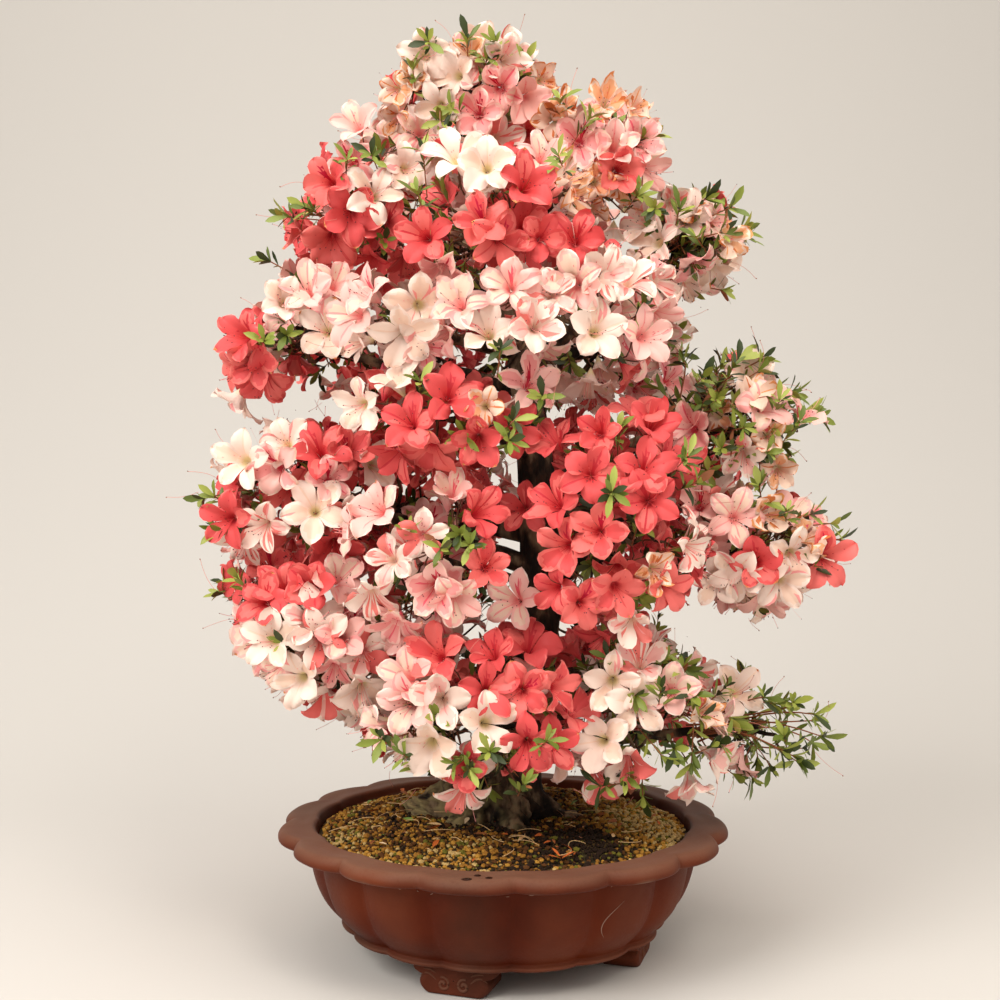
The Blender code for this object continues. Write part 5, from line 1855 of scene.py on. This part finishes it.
@dataclass
class Pot:
    """The lobed clay bowl with its rolled rim, and the four scroll feet."""

    shift: Array
    noise: Noise = field(default_factory=lambda: Noise(23))

    def clay(self) -> Material:
        """Dark red-brown clay, dusted purple-grey where it faces up, with a little of that grey on the lobes'
        crests as painted sheen.
        """
        return MottledFinish(
            "unglazed_clay", (60, 18, 4), (83, 28, 8), (102, 41, 15), (122, 88, 70), 0.54, 9.0, 420.0,
            0.22, 0.0006, 1.0, 0.09,
        ).build()

    def cusp(self, bearing: Array) -> Array:
        """How far into the groove between two lobes bearings lie, from 0 on a lobe to 1 in a groove."""
        return (1.0 - np.abs(np.sin(LOBES / 2 * (bearing - FIRST_CUSP)))) ** 1.5

    def build_bowl(self, clay: Material) -> None:
        """Make the bowl as one fine grid: each ring is its profile's radius less the grooves.

        Args:
            clay: Its material.
        """
        count = LOBES * COLUMNS_PER_LOBE
        bearing = FIRST_CUSP + np.arange(count) * math.tau / count
        radius, height, cut, dusty = smooth_rows(BOWL_PROFILE, 3).T[:, :, None]
        groove, around = self.cusp(bearing), toward(bearing)
        points = around[None] * (radius - cut * groove[None])[..., None]
        points[..., 2] = height
        unevenness = self.noise.layered(points * 26.0, 3)
        points = points + around[None] * (unevenness * 0.0007)[..., None]
        points[..., 2] += unevenness * 0.0005 * np.clip((height - 0.112) / 0.008, 0, 1)
        smear = np.clip(self.noise.layered(points * 34.0 + 8.0, 4) * 2.4 - 0.55, 0, 1)
        edge = np.clip(1.0 - np.abs(height - 0.1125) / 0.004, 0, 1)
        band = np.clip(1.0 - np.abs(height - 0.100) / 0.012, 0, 1)
        dust_and_sheen = dusty * (0.72 + 0.30 * unevenness) + smear * (0.75 * edge + 0.18 * band + 0.06)
        rubbed = np.exp(-((apart(bearing, -0.58) / 0.10) ** 2))[None]
        dust_and_sheen = dust_and_sheen + 0.8 * rubbed * np.exp(-(((height - 0.1085) / 0.0035) ** 2))
        # Painted sheen: the lobes' crests on the wall below the rim are lightened a little towards the dust
        # colour.
        dust_and_sheen = np.clip(dust_and_sheen + 0.10 * (1 - groove[None]) ** 3 * (height < 0.11), 0, 1)
        parts = MeshParts()
        parts.add(points + self.shift, grid_faces(len(height), count, True), 0, dust_and_sheen)
        ring = np.concatenate([points[0], np.array([[0.0, 0.0, 0.0272]])]) + self.shift
        index = np.arange(count)
        parts.add(ring, np.stack([np.full(count, count), (index + 1) % count, index], axis=-1))
        parts.finish("pot_bowl", [clay], "clay", "pot")

    def skin(self, bearing: Array, height: Array) -> Array:
        """Points on the outside of the bowl's wall, in the frame.

        Args:
            bearing: Bearings from the front.
            height: Heights above the feet.

        Returns:
            One point for each.
        """
        radius, level, cut, _ = np.ascontiguousarray(smooth_rows(BOWL_PROFILE, 3)[18:45].T)
        reach = np.interp(height, level, radius) - np.interp(height, level, cut) * self.cusp(bearing)
        points = toward(bearing) * reach[:, None]
        points[:, 2] = height
        return points

    def build_marks(self) -> None:
        """Make the scratch and the pale smears on the wall, and three damp spots on the front of the rim."""
        parts = MeshParts()
        share = np.linspace(0, 1, 14)
        taper = np.sin(math.pi * (share * 0.9 + 0.05))
        bearing = np.radians(33.5 - 5.6 * np.sin(share * math.pi * 0.75))
        scratch = self.skin(bearing, 0.0900 - 0.0330 * share) + toward(bearing) * 0.0001
        parts.tube(scratch + self.shift, 0.00045 * taper, 4)
        source = np.random.default_rng(12)
        for middle, level in zip(source.uniform(0, math.tau, 64), 0.1065 - source.gamma(1.2, 0.0022, 64)):
            bearing = middle + source.uniform(0.004, 0.036) * (share - 0.5)
            smear = self.skin(bearing, level + 0.0016 * (share - 0.5) * source.normal())
            parts.tube(smear + self.shift, 0.00040 * taper, 4)
        turn = np.arange(18) * math.tau / 18
        for x, y, across, deep in (
            (-0.0300, -0.2090, 0.0046, 0.0034),
            (-0.0215, -0.1990, 0.0030, 0.0026),
            (-0.0120, -0.2060, 0.0034, 0.0028),
        ):
            rim = np.stack([np.cos(turn) * across, np.sin(turn) * deep, np.zeros(18)], axis=-1)
            rings = np.array([x, y, 0.12395]) + rim[None] * np.array([1.0, 0.7, 0.3])[:, None, None]
            rings[1:, :, 2] += 0.0004
            parts.add(rings + self.shift, grid_faces(3, 18, True), 1)
            parts.add(rings[-1] + self.shift, np.arange(18)[None], 1)
        pale = Finish("pale_scratch", (150, 118, 102), 0.8, 0.1, 900.0, 0.3).build()
        painted_shade_patch = Finish("damp_spot", (38, 17, 11), 0.22, 0.08, 600.0, 0.1, 0.5).build()
        parts.finish("pot_marks", [pale, painted_shade_patch], "clay")

    def foot_outline(self) -> Array:
        """A foot's front as seen from ahead, from the top down one side and up the other.

        Each wing has two scallops.

        Returns:
            Distance across and height of each point.
        """
        half, top = FOOT_WIDTH / 2, BOWL_BOTTOM_Z - CLEARANCE
        rows = np.array([
            (half, top), (half + 0.0010, top * 0.88), (half - 0.0006, top * 0.74),
            (half - 0.0050, top * 0.66),
            (half - 0.0088, top * 0.64), (half - 0.0078, top * 0.54), (half - 0.0058, top * 0.42),
            (half - 0.0062, top * 0.26), (half - 0.0095, top * 0.10), (half - 0.0135, 0.0),
        ])
        right = smooth_rows(rows, 4)
        return np.concatenate([right, right[::-1] * np.array([-1.0, 1.0])])

    def build_feet(self, clay: Material) -> None:
        """Make the four feet: rounded blocks with two volutes and four ribs on the face of each.

        Args:
            clay: Their material.
        """
        parts = MeshParts()
        outline = self.foot_outline()
        middle = np.array([0.0, BOWL_BOTTOM_Z * 0.5])
        # How far each section stands behind the foot's face, and its size against the outline
        sections = (
            (FOOT_OUTER_RADIUS - FOOT_INNER_RADIUS, 1.0), (0.0075, 1.0), (0.0040, 0.985), (0.0018, 0.955),
            (0.0004, 0.90), (0.0, 0.82), (0.0006, 0.70), (0.0002, 0.45), (0.0, 0.02),
        )
        for index in range(FOOT_COUNT):
            out = toward(np.array(FIRST_FOOT + math.tau * index / FOOT_COUNT))
            side = np.array([-out[1], out[0], 0.0])
            rings = []
            for behind, shrink in sections:
                flat = middle + (outline - middle) * shrink
                rings.append(out * (FOOT_OUTER_RADIUS - behind) + side * flat[:, :1] + UP * flat[:, 1:])
            parts.add(np.array(rings) + self.shift, grid_faces(len(sections), len(outline), True), 0, 0.12)
            for hand in (-1.0, 1.0):
                self.add_volute(parts, out, side, hand)
        parts.finish("pot_feet", [clay], "clay", *[f"foot_{index + 1}" for index in range(FOOT_COUNT)])

    def add_volute(self, parts: MeshParts, out: Array, side: Array, hand: float) -> None:
        """Add a raised spiral, whose reach shrinks as it turns, and two ribs that run into the wing.

        Args:
            parts: Where the faces go.
            out: Direction that the foot faces.
            side: Direction across it.
            hand: Which side of the foot, -1 or 1.
        """
        face = FOOT_OUTER_RADIUS - 0.0006
        turn = np.linspace(0.0, 2.6 * math.pi, 46)[:, None]
        reach = 0.0062 * (1.0 - turn / (3.1 * math.pi))
        across, height = hand * (0.0095 + reach * np.cos(turn + 1.2)), 0.0098 + reach * np.sin(turn + 1.2)
        curl = out * face + side * across + UP * height
        parts.tube(curl + self.shift, np.linspace(0.0012, 0.0017, 46), 8, 0, 0.45)
        share = np.linspace(0, 1, 16)[:, None]
        width = 0.0011 * np.sin(math.pi * np.clip(share[:, 0] * 0.9 + 0.08, 0, 1)) + 0.0002
        for level in (0.0, 1.0):
            across = hand * (0.0160 + 0.0150 * share)
            height = 0.0128 + 0.0058 * level + (0.0052 - 0.002 * level) * np.sin(share * math.pi * 0.9)
            rib = out * (face - 0.0010 * share) + side * across + UP * height
            parts.tube(rib + self.shift, width, 8, 0, 0.40)

    def build(self) -> None:
        """Make the bowl, the feet and the marks."""
        clay = self.clay()
        self.build_bowl(clay)
        self.build_feet(clay)
        self.build_marks()


@dataclass
class Soil:
    """The mound of baked-clay granules, with fallen petals and leaves."""

    form: TreeForm
    source: Random = field(default_factory=lambda: np.random.default_rng(77))
    noise: Noise = field(default_factory=lambda: Noise(9))

    def height(self, x: Array, y: Array) -> Array:
        """Height of the soil's surface: flat in the middle, then down to an edge that is lower at the back.

        Args:
            x: Distance right of the pot's axis.
            y: Distance behind it.

        Returns:
            Heights above the feet.
        """
        radius = np.hypot(x, y)
        share = np.interp(radius, [SOIL_FLAT_RADIUS, 0.130, 0.152, SOIL_RADIUS], [1.0, 0.85, 0.50, 0.0])
        edge = SOIL_EDGE_Z - 0.0022 - 0.0030 * y / np.maximum(radius, 1e-6)
        return edge + (SOIL_TOP_Z - edge) * share

    def scattered(self, reach: float, least: float, count: int) -> tuple[Array, Array]:
        """Random places on the soil, even over its area: the reach times the root of a draw.

        Args:
            reach: Greatest distance from the axis.
            least: Share of the area, round the axis, that stays empty.
            count: Number of places.

        Returns:
            Distances right of the axis and behind it.
        """
        turn = self.source.uniform(0, math.tau, count)
        reach = reach * np.sqrt(self.source.uniform(least, 1.0, count))
        return reach * np.sin(turn), -reach * np.cos(turn)

    def build_bed(self) -> None:
        """Make the dark bed that the grains lie on, as a grid of rings."""
        rings = np.linspace(0.002, SOIL_RADIUS + 0.0015, 60)
        points = rings[:, None, None] * toward(np.arange(120) * math.tau / 120)[None]
        points[..., 2] = self.height(points[..., 0], points[..., 1]) - 0.0012
        points[..., 2] += 0.0009 * self.noise.layered(points * 180.0, 2)
        parts = MeshParts()
        parts.add(points + self.form.shift, grid_faces(60, 120, True), 0, 0.2)
        material = MottledFinish(
            "soil_bed", (30, 20, 13), (62, 42, 25), (110, 78, 42), (84, 88, 44), 0.95, 60.0, 500.0,
            0.8, 0.001,
        ).build()
        parts.finish("soil_bed", [material], "soil", "soil")

    def build_grains(self) -> None:
        """Scatter the granules as bumpy icosahedra with moss in patches, darker towards the trunk as painted
        shade.
        """
        source = self.source
        line = np.arange(-SOIL_RADIUS, SOIL_RADIUS, GRAIN_PITCH)
        x, y = (side.reshape(-1) for side in np.meshgrid(line, line))
        x = x + source.uniform(-0.45, 0.45, x.shape) * GRAIN_PITCH
        y = y + source.uniform(-0.45, 0.45, y.shape) * GRAIN_PITCH
        size = source.gamma(9.0, 0.000215, len(x)).clip(0.0011, 0.0034)
        centre, _ = self.form.along(TRUNK_FOOT_Z)
        bearing = np.arctan2(x - centre[0], -(y - centre[1]))
        gap = np.hypot(x - centre[0], y - centre[1]) - self.form.trunk_radius(TRUNK_FOOT_Z + 0.002, bearing)
        keep = (np.hypot(x, y) < SOIL_RADIUS - size * 0.7) & (gap > -0.002)
        x, y, size, gap = x[keep], y[keep], size[keep], gap[keep]
        count = len(x)
        z = self.height(x, y) + size * source.uniform(-0.15, 0.55, count)
        golden = (1 + math.sqrt(5)) / 2
        corners = unit(np.array([
            (-1, golden, 0), (1, golden, 0), (-1, -golden, 0), (1, -golden, 0),
            (0, -1, golden), (0, 1, golden), (0, -1, -golden), (0, 1, -golden),
            (golden, 0, -1), (golden, 0, 1), (-golden, 0, -1), (-golden, 0, 1),
        ]))
        faces = np.array([
            (0, 11, 5), (0, 5, 1), (0, 1, 7), (0, 7, 10), (0, 10, 11), (1, 5, 9), (5, 11, 4),
            (11, 10, 2), (10, 7, 6), (7, 1, 8), (3, 9, 4), (3, 4, 2), (3, 2, 6), (3, 6, 8),
            (3, 8, 9), (4, 9, 5), (2, 4, 11), (6, 2, 10), (8, 6, 7), (9, 8, 1),
        ])
        shape = corners[None] * source.uniform(0.78, 1.12, (count, 12, 1))
        shape = shape * source.uniform(0.82, 1.15, (count, 1, 3))
        shape[..., 2] *= 0.85
        points = np.stack([x, y, z], axis=-1)[:, None] + shape * size[:, None, None]
        patch = self.noise.layered(np.stack([x * 28.0, y * 28.0, x * 0], axis=-1), 3)
        # Painted shade and light in the grains' tones: darker near the trunk and in a patch in front of it,
        # paler in a patch farther right.
        painted_shade_patch = np.exp(-(((x - 0.066) / 0.052) ** 2 + ((y + 0.112) / 0.048) ** 2))
        painted_light_patch = np.exp(-(((x - 0.145) / 0.045) ** 2 + ((y + 0.040) / 0.070) ** 2))
        shade = np.clip(1.0 - gap / 0.060, 0, 1) * 0.60 + patch * 0.60 + painted_shade_patch * 1.6 - painted_light_patch * 0.8
        draw = source.normal(0.0, 0.42, count) + shade
        paler_first = (Grain.TAN, Grain.GOLD, Grain.OCHRE, Grain.BROWN, Grain.DARK)
        tones = np.array([list(Grain).index(grain) for grain in paler_first])
        tint = tones[np.searchsorted([-0.42, -0.10, 0.28, 0.66], draw, side="right")]
        tint[source.random(count) < 0.06 + 0.20 * np.clip(-patch, 0, 1)] = list(Grain).index(Grain.MOSS)
        parts = MeshParts()
        parts.add(points + self.form.shift, repeated(faces, 12, count), np.repeat(tint, 20))
        materials = finishes("grain", Grain, 0.92, 0.06, 1800.0, 0.8, 0.2)
        parts.finish("soil_grains", materials, "soil", smooth=False)

    def build_litter(self) -> None:
        """Lay fallen leaves, one withered blossom and dry threads on the soil."""
        source, parts = self.source, MeshParts()
        leaves, count = Foliage(source, parts), 70
        x, y = self.scattered(0.168, 0.10, count)
        root = np.stack([x, y, self.height(x, y) + 0.0036], axis=-1) + self.form.shift
        spin = source.uniform(0, math.tau, count)
        ahead = np.stack([np.cos(spin), np.sin(spin), source.uniform(-0.05, 0.30, count)], axis=-1)
        face = UP + source.normal(0, 0.3, (count, 3))
        tint = source.choice(5, count, p=(0.24, 0.24, 0.20, 0.20, 0.12))
        leaves.blades(root, unit(ahead), face, source.uniform(0.007, 0.016, count), tint)
        x, y = np.array(0.050), np.array(-0.152)
        root = np.broadcast_to(np.array([x, y, self.height(x, y) + 0.004]) + self.form.shift, (6, 3))
        spin = np.arange(6) * math.tau / 6 + 0.3
        ahead = np.stack([np.cos(spin), np.sin(spin), np.array([0.5, 0.2, 0.7, 0.3, 0.6, 0.4])], axis=-1)
        leaves.blades(root, unit(ahead), UP + ahead * 0.2, np.full(6, 0.013), np.array([0, 1, 0, 0, 1, 2]))
        count, step = 46, np.linspace(0, 1, 8)
        x, y = self.scattered(0.160, 0.15, count)
        spin = source.uniform(0, math.tau, count)
        length = source.uniform(0.012, 0.034, count)[:, None] * step
        curl = source.normal(0, 0.9, (count, 1)) * step
        x = x[:, None] + length * np.cos(spin[:, None] + curl)
        y = y[:, None] + length * np.sin(spin[:, None] + curl)
        inside = np.minimum(1.0, (SOIL_RADIUS - 0.004) / np.hypot(x, y))
        x, y = x * inside, y * inside
        z = self.height(x, y) + 0.0040 + 0.0015 * np.sin(step * math.pi)
        parts.tube(np.stack([x, y, z], axis=-1) + self.form.shift, 0.00035, 4, THREAD)
        parts.finish("soil_litter", finishes("litter", Litter, 0.7, 0.1, 900.0, 0.4), "soil")

    def build(self) -> None:
        """Make the bed, the grains and the litter."""
        self.build_bed()
        self.build_grains()
        self.build_litter()


@dataclass
class Studio:
    """The pale room, the soft lights and the camera at the photograph's place."""

    shift: Array
    pitch: float = 91.62
    focal_length: float = 41.47

    def build_room(self) -> None:
        """Make one curved sheet that is floor and backdrop: a level, a quarter circle and a wall."""
        floor = [(depth, 0.0) for depth in np.linspace(-3.2, 0.5, 12)]
        turn = np.linspace(0, math.pi / 2, 40)[1:]
        bend = [(0.5 + 2.0 * math.sin(angle), 2.0 - 2.0 * math.cos(angle)) for angle in turn]
        profile = floor + bend + [(2.5, 4.2)]
        rows = [[(across, depth, height) for across in (-5.0, 0.0, 5.0)] for depth, height in profile]
        parts = MeshParts()
        parts.add(np.array(rows), grid_faces(len(profile), 3)[:, ::-1])
        material = Finish("studio_paper", (212, 208, 202), 0.92, 0.03, 40.0, 0.02, 0.1).build()
        parts.build("studio_sheet", [material])

    def add_light(
        self, name: str, place: Triple, aim: Triple, size: float, power: float, colour: Triple,
    ) -> None:
        """Add one soft area light.

        Args:
            name: Its name.
            place: Where it stands.
            aim: What it points at.
            size: Side of its square.
            power: Its power in watts.
            colour: Its colour, 0 to 255.
        """
        data = bpy.data.lights.new(name, "AREA")
        data.shape, data.size, data.energy, data.color = "SQUARE", size, power, linear(colour)[:3]
        lamp = bpy.data.objects.new(name, data)
        lamp.location = place
        lamp.rotation_euler = (Vector(aim) - Vector(place)).to_track_quat("-Z", "Y").to_euler()
        bpy.context.scene.collection.objects.link(lamp)

    def build_lights(self) -> None:
        """Set a broad light from the front upper left, a weaker one on the right and light from above."""
        self.add_light("key", (-2.0, -1.9, 2.2), (-0.1, 0.0, 0.50), 1.8, 78.5, (255, 252, 248))
        self.add_light("fill", (2.2, -1.9, 2.3), (0.08, 0.0, 0.62), 2.0, 22.0, (255, 248, 240))
        self.add_light("crown", (0.5, -1.3, 1.75), (0.03, 0.0, 0.88), 0.6, 9.5, (255, 248, 236))
        self.add_light("top", (0.1, -0.8, 2.9), (0.0, 0.0, 0.50), 2.2, 34.0, (255, 252, 248))
        world = bpy.data.worlds.new("soft_room")
        world.use_nodes = True
        ground = world.node_tree.nodes["Background"]
        ground.inputs["Color"].default_value = linear((240, 234, 228))
        ground.inputs["Strength"].default_value = 0.65
        bpy.context.scene.world = world
        bpy.context.scene.view_settings.view_transform = "Standard"

    def build_camera(self) -> None:
        """Set the camera where the photograph was taken."""
        data = bpy.data.cameras.new("camera")
        data.lens, data.sensor_width, data.clip_end = self.focal_length, 36.0, 20.0
        camera = bpy.data.objects.new("camera", data)
        camera.location = EYE + self.shift
        camera.rotation_euler = (math.radians(self.pitch), 0.0, 0.0)
        bpy.context.scene.collection.objects.link(camera)
        bpy.context.scene.camera = camera

    def build(self) -> None:
        """Make the room, the lights and the camera."""
        self.build_room()
        self.build_lights()
        self.build_camera()


def pot_axis() -> Array:
    """Where the pot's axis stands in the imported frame, as a shift from the plant's own sizes."""
    low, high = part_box("pot")
    return np.array([(low.x + high.x) / 2, (low.y + high.y) / 2, 0.0])


def main() -> None:
    """Build the studio, the pot, the soil, the wood and the crown in order."""
    logging.basicConfig(level=logging.INFO, format="%(message)s")
    shift = pot_axis()
    form = TreeForm(shift)
    Studio(shift).build()
    Pot(shift).build()
    Soil(form).build()
    bark = Wood(form).build()
    Crown(form, Rooms(shift)).build(bark)


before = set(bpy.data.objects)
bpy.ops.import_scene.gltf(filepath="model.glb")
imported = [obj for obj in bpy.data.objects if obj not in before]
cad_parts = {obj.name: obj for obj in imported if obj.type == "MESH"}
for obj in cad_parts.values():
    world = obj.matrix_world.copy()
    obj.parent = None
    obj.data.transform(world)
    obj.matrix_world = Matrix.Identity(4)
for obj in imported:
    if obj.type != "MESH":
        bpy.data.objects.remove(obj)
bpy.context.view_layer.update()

if __name__ == "__main__":
    main()
